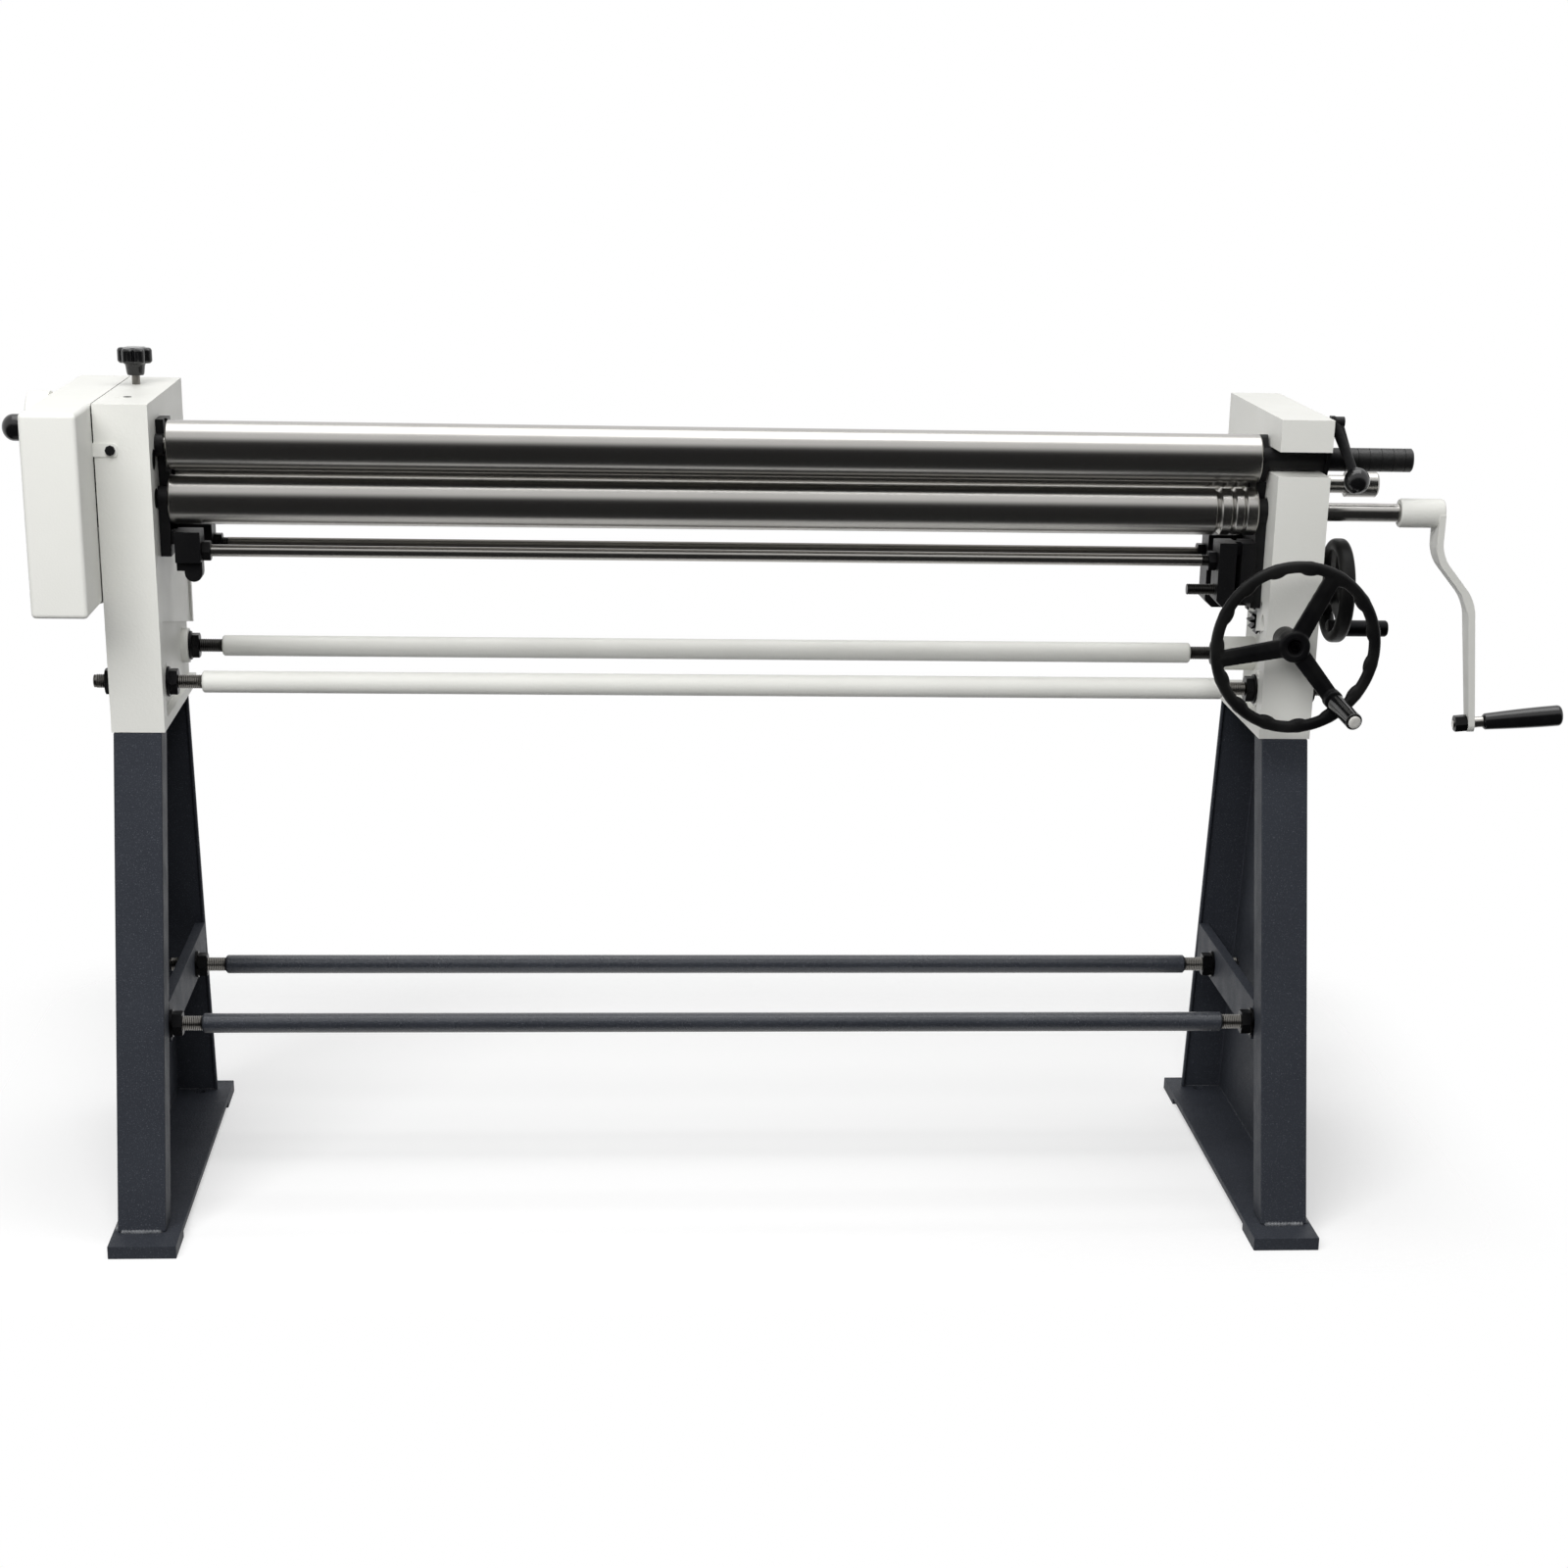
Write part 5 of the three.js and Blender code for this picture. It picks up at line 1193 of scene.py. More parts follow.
@dataclass
class Stand:
    """The two folded stand sides with their feet, braces and weld beads."""

    machine: Machine
    fold: float = 0.0022
    fold_steps: int = 4
    plate_edge: float = 0.0008
    bead: float = 0.0042
    shoulder: float = 0.8
    sides: int = 12
    ripple: float = 0.0008
    ripple_step: float = 0.004
    inset: float = 0.004
    web_outer: float = 0.0058
    web_front: float = 0.0441
    web_back: float = 0.032
    lip: float = 0.057

    def build(self) -> None:
        """Makes both stand sides."""
        for side in Side:
            self.machine.softened(f"{side.word}_stand_side", STAND_PAINT, self.fold, self.fold_steps)
            for part in ("foot", "brace"):
                self.machine.softened(f"{side.word}_{part}", STAND_PAINT, self.plate_edge)
            self.welds(side)

    def welds(self, side: Side) -> None:
        """Lays the beads that join a stand side to its foot.

        Args:
            side: the end of the machine.
        """
        low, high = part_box(f"{side.word}_foot")
        web = low.x + self.web_outer if side is Side.LEFT else high.x - self.web_outer
        inward = side.inward.vector
        front = Vector((web, low.y + self.web_front, high.z))
        back = Vector((web, high.y - self.web_back, high.z))
        runs = ((front, inward, self.lip), (back, inward, self.lip),
                (front, Direction.AWAY.vector, back.y - front.y))
        beads = [self.run(start + way * self.inset, way, length - 2 * self.inset)
                 for start, way, length in runs]
        piece = joined(*beads)
        piece.name = f"{side.word}_foot_welds"
        # The beads' lighter paint is painted sheen.
        self.machine.shaded(piece, WELD_PAINT_WITH_SHEEN, f"{side.word}_foot")

    def run(self, start: Vector, way: Vector, length: float) -> bpy.types.Object:
        """Lays one rippled bead.

        Args:
            start: where it begins.
            way: the way that it runs.
            length: how long it is.

        Returns:
            The bead.
        """
        steps = int(length / self.ripple_step)
        tip = self.bead / 3
        rings = [(0.0, tip), (tip, self.bead * self.shoulder)]
        for step in range(steps):
            along = (step + 0.5) * length / steps
            rings += [(along, self.bead), (along + self.ripple_step / 2, self.bead - self.ripple)]
        rings = [ring for ring in rings if ring[0] < length - tip] + [(length, tip)]
        return turned("bead", start, way, rings, self.sides)


@dataclass
class Handwheels:
    """The large front handwheel and the small side one, with their shafts and handles."""

    machine: Machine
    front_radius: float = 0.103
    front_band: float = 0.014
    front_width: float = 0.013
    waves: int = 15
    wave_depth: float = 0.003
    wave_sides: int = 32
    wave_first: float = math.radians(12)
    wave_size: tuple[float, float] = (0.0125, 0.0058)
    front_spokes: tuple[float, ...] = (65, 189, -51)
    front_spoke: tuple[float, float] = (0.019, 0.008)
    ridge: float = 0.005
    front_dish: float = 0.008
    front_hub: float = 0.0185
    front_neck: float = 0.015
    front_mid: float = 0.0065
    front_reach: float = 0.0604
    boss: float = 0.0118
    grip_spot: float = 0.079
    grip_turn: float = math.radians(-51)
    grip_lean: float = math.radians(13.5)
    side_radius: float = 0.063
    side_band: float = 0.0145
    side_width: float = 0.019
    side_spokes: tuple[float, ...] = (90, 210, 330)
    side_spoke: tuple[float, float] = (0.024, 0.012)
    side_hub: float = 0.016
    side_mid: float = 0.022
    voxel: float = 0.0011
    relax: int = 5
    rim_round: float = 0.42
    rim_steps: int = 6
    root_share: float = 1.18
    hub_front: float = 0.001
    hub_edge: float = 0.0015
    hub_back: float = 0.023
    socket: float = 0.010
    socket_depth: float = 0.007
    screw: float = 0.006
    screw_sides: int = 32
    socket_taper: float = 2.2
    screw_rise: float = 0.004
    boss_rise: float = 0.0135
    grip_radius: float = 0.0104
    grip_neck: float = 0.0072
    screw_head: float = 0.003
    screw_cap: float = 0.0076
    cap_steps: int = 5
    cap_sides: int = 48
    grip_full: float = 0.00675
    handle_foot: tuple[float, float] = (0.8, 0.9)
    side_neck: float = 0.0135
    side_voxel: float = 0.0009
    side_set: float = 0.0465
    side_boss: float = 0.0105
    side_step: float = 0.010
    bore: float = 0.0068

    def build(self) -> None:
        """Makes both wheels, their shafts and handles."""
        self.front_wheel()
        self.front_grip()
        self.side_wheel()
        self.side_handle()
        self.machine.softened("front_wheel_shaft", DULL_STEEL, self.voxel)
        self.machine.softened("drive_pinion", DARK_STEEL, self.voxel / 4)

    def rim(self, radius: float, band: float, width: float, steps: int = 144) -> bpy.types.Object:
        """Spins a rounded section into a rim that lies flat round the origin.

        Args:
            radius: the rim's outer radius.
            band: how deep it is from outside to inside.
            width: how wide it is along the axis.
            steps: how many sections it has.

        Returns:
            The rim.
        """
        bpy.ops.object.select_all(action="DESELECT")
        bpy.ops.mesh.primitive_plane_add(size=1, location=(radius - band / 2, 0, 0),
                                         rotation=(math.pi / 2, 0, 0))
        obj = bpy.context.object
        obj.scale = (band, width, 1)
        settle(obj)
        with Editing(obj, everything=True):
            bpy.ops.mesh.bevel(offset=min(band, width) * self.rim_round, segments=self.rim_steps,
                               affect="VERTICES")
            bpy.ops.mesh.select_all(action="SELECT")
            bpy.ops.mesh.spin(steps=steps, angle=FULL_TURN, center=(0, 0, 0), axis=(0, 0, 1))
            bpy.ops.mesh.select_all(action="SELECT")
            bpy.ops.mesh.remove_doubles(threshold=WELD)
            bpy.ops.mesh.select_all(action="SELECT")
            bpy.ops.mesh.normals_make_consistent(inside=False)
        return obj

    def spoke(self, start: float, end: float, size: tuple[float, float], dish: float,
              turn: float) -> bpy.types.Object:
        """Makes one ridged spoke between hub and rim.

        Args:
            start: its distance from the axis at the hub.
            end: its distance from the axis at the rim.
            size: its width and thickness.
            dish: how far its hub end lies below its rim end.
            turn: its angle round the axis in degrees.

        Returns:
            The spoke.
        """
        corner = Vector((0, *size)) / 2
        obj = block(Vector((start, 0, 0)) - corner, Vector((end, 0, 0)) + corner)
        with Editing(obj, everything=True) as edit:
            bpy.ops.mesh.bisect(plane_co=(0, 0, 0), plane_no=(0, 1, 0))
            edit.choose(lambda spot: abs(spot.y) < WELD and spot.z > 0)
            bpy.ops.transform.translate(value=(0, 0, self.ridge / 2))
            edit.choose(lambda spot: spot.x < start + WELD)
            bpy.ops.transform.translate(value=(0, 0, -dish))
            bpy.ops.transform.resize(value=(1, self.root_share, 1), center_override=(start, 0, -dish))
        obj.matrix_world = Matrix.Rotation(math.radians(turn), 4, "Z")
        return settle(obj)

    def front_wheel(self) -> None:
        """Makes the large wheel with its wavy rim."""
        node = "front_handwheel"
        low, _, middle = self.machine.measured(node)
        inner = self.front_radius - self.front_band
        pieces = [self.rim(self.front_radius, self.front_band, self.front_width)]
        pieces += [self.wave(inner, self.wave_first + FULL_TURN * wave / self.waves)
                   for wave in range(self.waves)]
        pieces += [self.spoke(self.front_hub / 2, inner + self.front_band / 2, self.front_spoke,
                              self.front_dish, turn) for turn in self.front_spokes]
        top = self.hub_front
        edge = self.hub_edge
        rings = [(-self.front_reach, self.front_neck - edge), (edge - self.front_reach, self.front_neck),
                 (-self.hub_back, self.front_neck), (edge - self.hub_back, self.front_hub),
                 (top - edge, self.front_hub), (top, self.front_hub - edge),
                 (top, self.socket), (top - self.socket_depth, self.socket - edge)]
        pieces.append(turned("hub", Vector(), Direction.UP.vector, rings))
        outward = Vector((math.cos(self.grip_turn), math.sin(self.grip_turn), 0))
        lean = outward * math.sin(self.grip_lean) + Vector((0, 0, math.cos(self.grip_lean)))
        pieces.append(turned("boss", outward * self.grip_spot - lean * self.boss / 2, lean,
                             barrel(0, self.boss_rise, self.boss, edge)))
        centre = Matrix.Translation((middle.x, low.y + self.front_mid, middle.z))
        place = centre @ Matrix.Rotation(math.pi / 2, 4, "X")
        self.wheel(node, pieces, self.voxel, place)
        head = place @ Vector((0, 0, top - self.socket_depth))
        screw = turned("hub_screw", head, Direction.FRONT.vector,
                       [(0, self.screw), (self.screw_rise, self.screw), (self.screw_rise, self.screw / 2),
                        (self.screw_rise - self.screw / 2, self.screw / self.socket_taper)],
                       self.screw_sides)
        bevelled(screw, edge / 4)
        self.machine.shaded(screw, DARK_STEEL, node)

    def wheel(self, node: str, pieces: Sequence[bpy.types.Object], voxel: float, place: Matrix) -> None:
        """Melts a wheel's pieces into one casting and puts it in its place.

        Args:
            node: the wheel's node.
            pieces: its rim, spokes, hub and boss, round the origin.
            voxel: the size of the grid they are melted on.
            place: where the wheel belongs.
        """
        wheel = fused(joined(*pieces), voxel, self.relax)
        wheel.name = f"{node}_surface"
        wheel.matrix_world = place
        settle(wheel)
        self.machine.dress(wheel, WHEEL_BLACK, node, [node])

    def wave(self, radius: float, angle: float) -> bpy.types.Object:
        """Makes one finger bump on the rim's inner edge.

        Args:
            radius: the rim's inner radius.
            angle: the bump's angle round the axis.

        Returns:
            The bump.
        """
        bpy.ops.object.select_all(action="DESELECT")
        bpy.ops.mesh.primitive_uv_sphere_add(segments=self.wave_sides, ring_count=self.wave_sides // 2,
                                             radius=1)
        obj = bpy.context.object
        along, across = self.wave_size
        obj.scale = (self.wave_depth + across / 2, along, across)
        settle(obj)
        with Editing(obj) as edit:
            edit.choose(lambda spot: spot.x > 0)
            bpy.ops.transform.translate(value=(across, 0, 0))
        obj.matrix_world = Matrix.Rotation(angle, 4, "Z") @ Matrix.Translation((radius + across / 2, 0, 0))
        return settle(obj)

    def front_grip(self) -> None:
        """Makes the leaning grip of the large wheel and the screw that holds it."""
        line = Vector((math.sin(self.grip_lean) * math.cos(self.grip_turn), -math.cos(self.grip_lean),
                       math.sin(self.grip_lean) * math.sin(self.grip_turn)))
        node = "front_wheel_grip"
        length = self.machine.reach(node, line)
        edge = self.hub_edge
        radius = self.grip_radius
        rings = [(0, self.grip_neck), (edge, self.grip_neck + edge), (edge * 3, radius - edge / 3),
                 (self.grip_full, radius), (length - edge, radius), (length - edge / 3, radius - edge / 3),
                 (length, radius - edge)]
        self.machine.lathe(node, self.machine.spine(node, line), line, rings, PHENOLIC)
        node = "front_grip_screw"
        length = self.machine.reach(node, line)
        head = length - self.screw_head
        tip = self.screw / 2
        rings = [(0, tip), (head, tip), (head, self.screw_cap), (length - edge, self.screw_cap)]
        rings += dome(edge, self.screw_cap - tip, self.cap_steps, length - edge, tip)
        self.machine.lathe(node, self.machine.spine(node, line), line, rings, PLATED, self.cap_sides)

    def side_wheel(self) -> None:
        """Makes the small wheel on the adjusting screw."""
        node = "side_handwheel"
        low, high, middle = self.machine.measured(node)
        inner = self.side_radius - self.side_band
        edge = self.hub_edge
        pieces = [self.rim(self.side_radius, self.side_band, self.side_width)]
        pieces += [self.spoke(self.side_hub / 2, inner + self.side_band / 2, self.side_spoke, 0, turn)
                   for turn in self.side_spokes]
        back = low.x - high.x + self.side_mid
        rings = [(back, self.side_neck - edge), (back + edge, self.side_neck),
                 (-self.side_step, self.side_neck), (edge - self.side_step, self.side_hub),
                 (self.side_mid - edge, self.side_hub),
                 (self.side_mid, self.side_hub - edge), (self.side_mid, self.bore),
                 (self.side_mid - edge, self.bore)]
        pieces.append(turned("hub", Vector(), Direction.UP.vector, rings))
        half = self.side_width / 2
        pieces.append(turned("boss", Vector((0, -self.side_set, 0)), Direction.UP.vector,
                             barrel(edge - half, half, self.side_boss, edge)))
        turn = Matrix(((0, 0, 1, 0), (1, 0, 0, 0), (0, 1, 0, 0), (0, 0, 0, 1)))
        centre = Matrix.Translation((high.x - self.side_mid, middle.y, middle.z))
        self.wheel(node, pieces, self.side_voxel, centre @ turn)

    def side_handle(self) -> None:
        """Makes the small wheel's turned handle and its pin."""
        node = "side_wheel_handle"
        low, high, middle = self.machine.measured(node)
        start = Vector((low.x, middle.y, middle.z))
        length = high.x - low.x
        radius = (high.z - low.z) / 2
        edge = self.hub_edge
        foot, waist = self.handle_foot
        rings = [(0, radius * foot), (edge, radius * waist), (edge * 3, radius),
                 (length - edge * 3 / 2, radius), (length, radius - edge), (length, self.screw / 2),
                 (length - edge, self.screw / 2)]
        self.machine.lathe(node, start, Direction.RIGHT.vector, rings, DARK_STEEL)
        self.machine.softened("side_handle_pin", DULL_STEEL, edge / 3)


@dataclass
class Crank:
    """The crank arm on the lower roll, its spindle, nut and turned grip."""

    machine: Machine
    cast_edge: float = 0.0022
    cast_steps: int = 3
    bend: float = 0.016
    bend_steps: int = 6
    bend_above: float = math.radians(4)
    bend_below: float = math.radians(60)
    tilt: float = math.radians(5)
    small_edge: float = 0.0005
    grip_neck: float = 0.0102
    grip_radius: float = 0.013
    grip_round: float = 0.005
    grip_steps: int = 8
    crown_steps: int = 6
    nut_radius: float = 0.0108
    sides: int = 72
    across_share: float = 0.95
    across_least: float = 0.01

    def build(self) -> None:
        """Makes the crank."""
        self.arm()
        line = Vector((math.cos(self.tilt), 0, math.sin(self.tilt)))
        self.machine.softened("crank_spindle", PLAIN_STEEL, self.small_edge)
        self.grip(line)
        self.nut(line)

    def arm(self) -> None:
        """Makes the cast arm with its two soft bends."""
        node = "crank_arm"
        obj = self.machine.copied(node)
        with Editing(obj) as edit:
            bpy.ops.mesh.select_mode(type="EDGE")
            chosen = edit.choose_edges(self.bent)
            if chosen:
                bpy.ops.mesh.bevel(offset=self.bend, segments=self.bend_steps, affect="EDGES",
                                   clamp_overlap=True)
        log.info("crank bends: %d edges", chosen)
        bevelled(obj, self.cast_edge, self.cast_steps)
        self.machine.shaded(obj, CAST_WHITE, node, [node])

    def bent(self, first: Vector, second: Vector, turn: float) -> bool:
        """Says whether an edge is the crest of a bend across the arm.

        Args:
            first: one end of the edge.
            second: the other end.
            turn: the angle between its two faces.

        Returns:
            True for a shallow edge that runs across the arm.
        """
        run = second - first
        across = abs(run.y) > self.across_share * run.length and run.length > self.across_least
        return across and self.bend_above < turn < self.bend_below

    def grip(self, line: Vector) -> None:
        """Makes the tapered grip.

        Args:
            line: the way that it points.
        """
        node = "crank_grip"
        length = self.machine.reach(node, line)
        edge = self.grip_round
        neck = self.grip_neck
        full = self.grip_radius
        span = length - 2 * edge
        rings = [(0, neck - edge / 2), (edge / 4, neck - edge / 5), (edge / 2, neck)]
        for step in range(1, self.grip_steps + 1):
            share = step / self.grip_steps
            rings.append((edge / 2 + span * share, neck + math.sin(share * math.pi / 2) * (full - neck)))
        rings.append((length - edge, full))
        rings += dome(edge, edge, self.crown_steps, length - edge, full - edge)
        rings += [(length, self.nut_radius / 3), (length - edge / 2, self.nut_radius / 3)]
        self.machine.lathe(node, self.machine.spine(node, line), line, rings, PHENOLIC, self.sides)

    def nut(self, line: Vector) -> None:
        """Makes the nut behind the arm.

        Args:
            line: the way that the spindle points.
        """
        node = "crank_nut"
        obj = hexagon(f"{node}_surface", self.machine.spine(node, line), line,
                      self.machine.reach(node, line), self.nut_radius)
        self.machine.shaded(obj, DARK_STEEL, node, [node])


@dataclass
class SwingBearing:
    """The bearing that the top roll swings out on, its sleeve, lever and locking ball."""

    machine: Machine
    edge: float = 0.0008
    lever_edge: float = 0.0022
    groove: float = 0.0007
    groove_step: float = 0.0145
    groove_width: float = 0.0012
    collar: float = 0.0075
    ball_steps: int = 26
    rod_start: float = 0.008
    rod_root: float = 0.0066
    rod_tip: float = 0.0056
    sides: int = 72

    def build(self) -> None:
        """Makes the swing bearing's pieces."""
        self.machine.softened("right_bearing", CAST_BLACK, self.edge)
        self.machine.softened("swivel_bush", DARK_STEEL, self.edge)
        self.sleeve()
        self.machine.softened("lock_lever", CAST_BLACK, self.lever_edge)
        self.lever_rod()
        self.ball()

    def lever_rod(self) -> None:
        """Makes the tapered rod between the lever's hub and its ball."""
        ball = self.machine.middle("lock_ball")
        hub = 2 * self.machine.middle("lock_lever") - ball
        way = (ball - hub).normalized()
        length = (ball - hub).length
        rings = [(self.rod_start, self.rod_root), (length - self.rod_start, self.rod_tip)]
        self.machine.shaded(turned("lock_lever_rod", hub, way, rings, self.sides), CAST_BLACK, "lock_lever")

    def sleeve(self) -> None:
        """Makes the black sleeve on the top roll's end, with its shallow grooves."""
        node = "roll_grip"
        low, high, middle = self.machine.measured(node)
        radius = (high.z - low.z) / 2
        length = high.x - low.x
        edge = self.edge * 2
        bottom = radius - self.groove
        slope = self.groove_width / 4
        rings = [(0, radius - edge), (edge, radius)]
        place = self.groove_step
        while place < length - self.groove_step / 2:
            rings += [(place, radius), (place + slope, bottom), (place + self.groove_width, bottom),
                      (place + self.groove_width + slope, radius)]
            place += self.groove_step
        rings += [(length - edge, radius), (length, radius - edge)]
        start = Vector((low.x, middle.y, middle.z))
        self.machine.lathe(node, start, Direction.RIGHT.vector, rings, RUBBED, self.sides)

    def ball(self) -> None:
        """Makes the smooth ball of the locking lever, with the collar at its foot."""
        node = "lock_ball"
        low, high, middle = self.machine.measured(node)
        radius = (high.x - low.x) / 2
        way = (middle - self.machine.middle("lock_lever")).normalized()
        first = math.asin(self.collar / radius)
        rings = [(-radius * math.cos(first) - self.edge, self.collar - self.edge)]
        for step in range(self.ball_steps):
            angle = first + (math.pi - first) * step / (self.ball_steps - 1 + POLE_GAP)
            rings.append((-radius * math.cos(angle), radius * math.sin(angle)))
        self.machine.lathe(node, middle, way, rings, PHENOLIC, self.sides)


@dataclass
class Drive:
    """The gears inside the cover, and the knobs that hold the cover and the left bearing."""

    machine: Machine
    tooth_edge: float = 0.0004
    lobes: int = 6
    lobe: float = 0.0072
    knob_edge: float = 0.0025
    stem: float = 0.005
    voxel: float = 0.0006
    relax: int = 4
    head_depth: float = 0.019
    neck_depth: float = 0.014
    neck_bend: float = 0.4
    neck_shares: tuple[float, float, float] = (0.86, 0.78, 0.72)
    lobe_sides: int = 32
    lobe_crown: tuple[tuple[float, float], ...] = ((1.4, 0), (0.5, 0.6), (0.2, 1.4))
    disc_swell: float = 0.4
    disc_crown: float = 0.6
    seat_depth: float = 0.0122
    seat_share: float = 0.4
    foot_shares: tuple[float, float] = (0.82, 0.95)
    nose_share: float = 0.9
    nose_steps: int = 10

    def build(self) -> None:
        """Makes the gears and knobs."""
        for place in ("top", "lower"):
            self.machine.softened(f"{place}_gear", DARK_STEEL, self.tooth_edge)
        self.star()
        self.bullet()

    def star(self) -> None:
        """Makes the lobed knob over the left bearing and its plain stem."""
        node = "star_knob"
        low, high, middle = self.machine.measured(node)
        ring = (high.x - low.x) / 2 - self.lobe
        start = Vector((middle.x, middle.y, high.z - self.head_depth))
        edge = self.knob_edge
        depth = self.head_depth
        lobe = [(0, self.lobe - edge), (edge, self.lobe)]
        lobe += [(depth - edge * back, self.lobe - edge * inset) for back, inset in self.lobe_crown]
        pieces = []
        for index in range(self.lobes):
            angle = FULL_TURN * index / self.lobes
            spot = start + Vector((math.cos(angle), math.sin(angle), 0)) * ring
            pieces.append(turned("lobe", spot, Direction.UP.vector, lobe, self.lobe_sides))
        full = ring + edge * self.disc_swell
        disc = [(0, full), (depth - edge * self.disc_crown, full), (depth, ring - edge)]
        pieces.append(turned("disc", start, Direction.UP.vector, disc))
        upper, waist, foot = (ring * share for share in self.neck_shares)
        neck = [(0, ring), (self.neck_depth * self.neck_bend, upper), (self.neck_depth, waist),
                (self.neck_depth + edge, foot)]
        pieces.append(turned("neck", start + Vector((0, 0, edge)), Direction.DOWN.vector, neck))
        knob = fused(joined(*pieces), self.voxel, self.relax)
        knob.name = f"{node}_surface"
        smooth(knob, weighted=False)
        self.machine.dress(knob, PHENOLIC, node, [node])
        foot = Vector((middle.x, middle.y, low.z))
        stem = turned("star_knob_stem", foot, Direction.UP.vector,
                      [(0, self.stem), (start.z - low.z - edge, self.stem)], self.lobe_sides)
        self.machine.shaded(stem, DULL_STEEL, node)

    def bullet(self) -> None:
        """Makes the round-nosed knob on the cover."""
        node = "cover_knob"
        low, high, middle = self.machine.measured(node)
        radius = (high.z - low.z) / 2
        length = high.x - low.x
        edge = self.knob_edge
        nose = radius * self.nose_share
        seat = self.seat_depth
        neck = radius * self.seat_share
        first, second = (radius * share for share in self.foot_shares)
        rings = [(0, neck), (seat, neck), (seat, first), (seat + edge, second), (seat + edge * 2, radius),
                 (length - nose, radius)]
        rings += dome(nose, radius, self.nose_steps, length - nose)
        start = Vector((high.x, middle.y, middle.z))
        self.machine.lathe(node, start, Direction.LEFT.vector, rings, PHENOLIC)


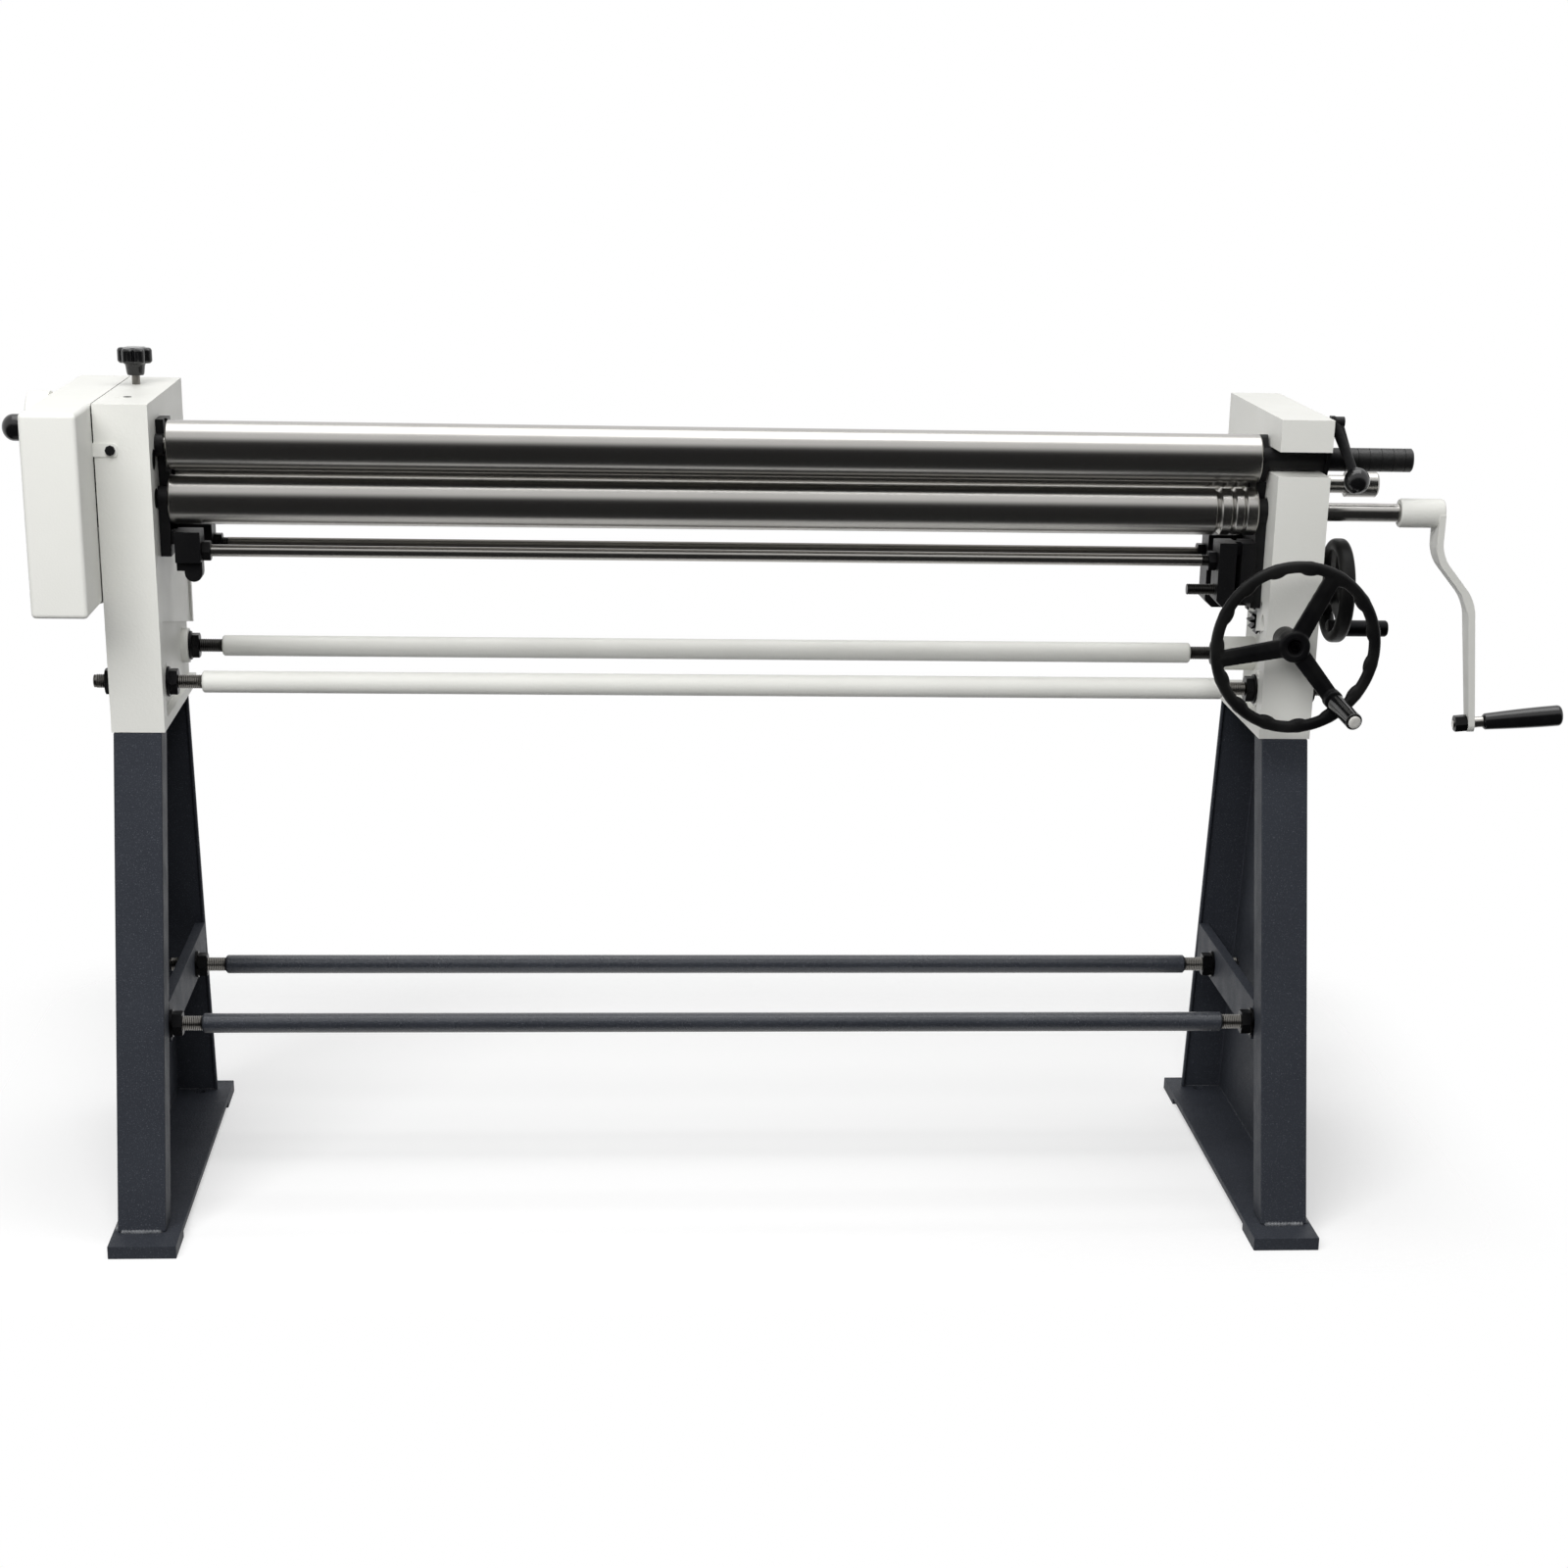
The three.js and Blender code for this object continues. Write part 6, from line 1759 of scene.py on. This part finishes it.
@dataclass
class Studio:
    """The pale floor, the soft lamps, the white surround and the photograph's camera."""

    place: Vector = field(default_factory=lambda: Vector((-0.25517, -3.527, 1.356)))
    yaw: float = 0.0779
    pitch: float = -0.3512
    roll: float = 0.0226
    lens: float = 66.61
    shift: tuple[float, float] = (-0.0159, 0.2159)
    floor_span: tuple[float, float] = (4.4, 3.4)
    floor_middle: tuple[float, float] = (-0.1, 0.25)
    floor_half: tuple[float, float] = (0.78, 0.42)
    floor_fade: float = 0.32
    floor_tint: Colour = (0.60, 0.60, 0.60)
    floor_lift: float = 0.46
    floor_rough: float = 0.95
    fill: float = 0.15
    room: float = 0.03
    room_lean: float = 1.2
    room_span: tuple[float, float] = (-0.75, -0.05)
    front_lamp: tuple[float, float, float] = (-0.95, -2.5, 2.6)
    front_target: tuple[float, float, float] = (0.0, 0.0, 0.88)
    front_size: tuple[float, float] = (2.7, 1.95)
    front_power: float = 112
    top_lamp: tuple[float, float, float] = (0.15, 0.27, 3.28)
    top_target: tuple[float, float, float] = (0.15, 0.0, 0.6)
    top_size: tuple[float, float] = (3.2, 1.9)
    top_power: float = 43

    def build(self) -> None:
        """Sets up the whole studio."""
        self.camera()
        self.floor()
        self.surround()
        front = self.lamp("front softbox", self.front_lamp, self.front_target, self.front_size,
                          self.front_power)
        front.visible_glossy = False
        self.lamp("overhead softbox", self.top_lamp, self.top_target, self.top_size, self.top_power)
        bpy.context.scene.view_settings.view_transform = "Standard"

    def camera(self) -> None:
        """Adds the camera, turned by the angles that the photograph was fitted with."""
        level = math.cos(self.pitch)
        forward = Vector((math.sin(self.yaw) * level, math.cos(self.yaw) * level, math.sin(self.pitch)))
        right = forward.cross(Vector((0, 0, 1))).normalized()
        up = right.cross(forward)
        across = math.cos(self.roll) * right + math.sin(self.roll) * up
        above = math.cos(self.roll) * up - math.sin(self.roll) * right
        turn = Matrix((across, above, -forward)).transposed()
        data = bpy.data.cameras.new("photo camera")
        data.lens = self.lens
        data.shift_x, data.shift_y = self.shift
        camera = bpy.data.objects.new("photo camera", data)
        camera.matrix_world = Matrix.Translation(self.place) @ turn.to_4x4()
        bpy.context.scene.collection.objects.link(camera)
        bpy.context.scene.camera = camera

    def floor(self) -> None:
        """Adds the pale floor, which takes the machine's shadow and fades into the white surround."""
        bpy.ops.object.select_all(action="DESELECT")
        bpy.ops.mesh.primitive_plane_add(size=1, location=(*self.floor_middle, 0))
        floor = bpy.context.object
        floor.name = "floor"
        floor.scale = (*self.floor_span, 1)
        settle(floor)
        tree = Tree("pale floor")
        tree.give(Base_Color=(*self.floor_tint, 1), Roughness=self.floor_rough, Specular_IOR_Level=0,
                  Emission_Color=(1, 1, 1, 1))
        tree.feed("Emission Strength", tree.maths("MULTIPLY", tree.seen(), self.floor_lift))
        spot = tree.parts(tree.place)
        sides = []
        for axis, middle, half in zip("XY", self.floor_middle, self.floor_half):
            off = tree.maths("ABSOLUTE", tree.maths("SUBTRACT", spot[axis], middle))
            over = tree.maths("MAXIMUM", tree.maths("SUBTRACT", off, half), 0.0)
            sides.append(tree.maths("MULTIPLY", over, over))
        away = tree.maths("SQRT", tree.maths("ADD", *sides))
        keep = tree.spread(away, 1, 0, 0, self.floor_fade, smooth=True)
        clear = tree.node("ShaderNodeBsdfTransparent").outputs["BSDF"]
        look = tree.crossed(keep, clear, tree.shader.outputs["BSDF"])
        tree.join(look, tree.tree.nodes["Material Output"].inputs["Surface"])
        floor.data.materials.append(tree.material)

    def surround(self) -> None:
        """Makes the world white to the camera, and in gloss white above and behind but dim low in front."""
        world = bpy.data.worlds.new("white surround")
        bpy.context.scene.world = world
        world.use_nodes = True
        tree = Tree.of_world(world)
        way = tree.parts(tree.node("ShaderNodeTexCoord").outputs["Generated"])
        height = tree.maths("ADD", way["Z"], tree.maths("MULTIPLY", way["Y"], self.room_lean))
        gloss = tree.spread(height, self.room, 1, *self.room_span, smooth=True)
        rays = tree.node("ShaderNodeLightPath")
        white = tree.maths("MAXIMUM", rays.outputs["Is Camera Ray"], gloss)
        sky = tree.node("ShaderNodeBackground")
        tree.join(white, sky.inputs["Strength"])
        room = tree.node("ShaderNodeBackground")
        room.inputs["Strength"].default_value = self.fill
        for shade in (sky, room):
            shade.inputs["Color"].default_value = (1, 1, 1, 1)
        look = tree.crossed(tree.seen(), room.outputs["Background"], sky.outputs["Background"])
        tree.join(look, tree.node("ShaderNodeOutputWorld").inputs["Surface"])

    def lamp(self, name: str, spot: Sequence[float], target: Sequence[float], size: Sequence[float],
             power: float) -> bpy.types.Object:
        """Adds one soft lamp.

        Args:
            name: the lamp's name.
            spot: where it hangs.
            target: what it points at.
            size: its width and height.
            power: its power in watts.

        Returns:
            The lamp.
        """
        data = bpy.data.lights.new(name, "AREA")
        data.shape = "RECTANGLE"
        data.size, data.size_y = size
        data.energy = power
        lamp = bpy.data.objects.new(name, data)
        lamp.location = spot
        lamp.rotation_mode = "QUATERNION"
        lamp.rotation_quaternion = (Vector(target) - Vector(spot)).to_track_quat("-Z", "Y")
        lamp.visible_camera = False
        bpy.context.scene.collection.objects.link(lamp)
        return lamp


def main() -> None:
    """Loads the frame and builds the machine's sub-assemblies in order."""
    logging.basicConfig(level=logging.INFO, format="%(message)s")
    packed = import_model()
    machine = Machine(packed["nodes"], packed["record"]["behaviour"]["bodies"])
    Studio().build()
    for assembly in (Castings, SheetCover, Rolls, Rods, Stand, Handwheels, Crank, SwingBearing, Drive):
        assembly(machine).build()
    log.info("%d pieces dressed", machine.count)


if __name__ == "__main__":
    main()
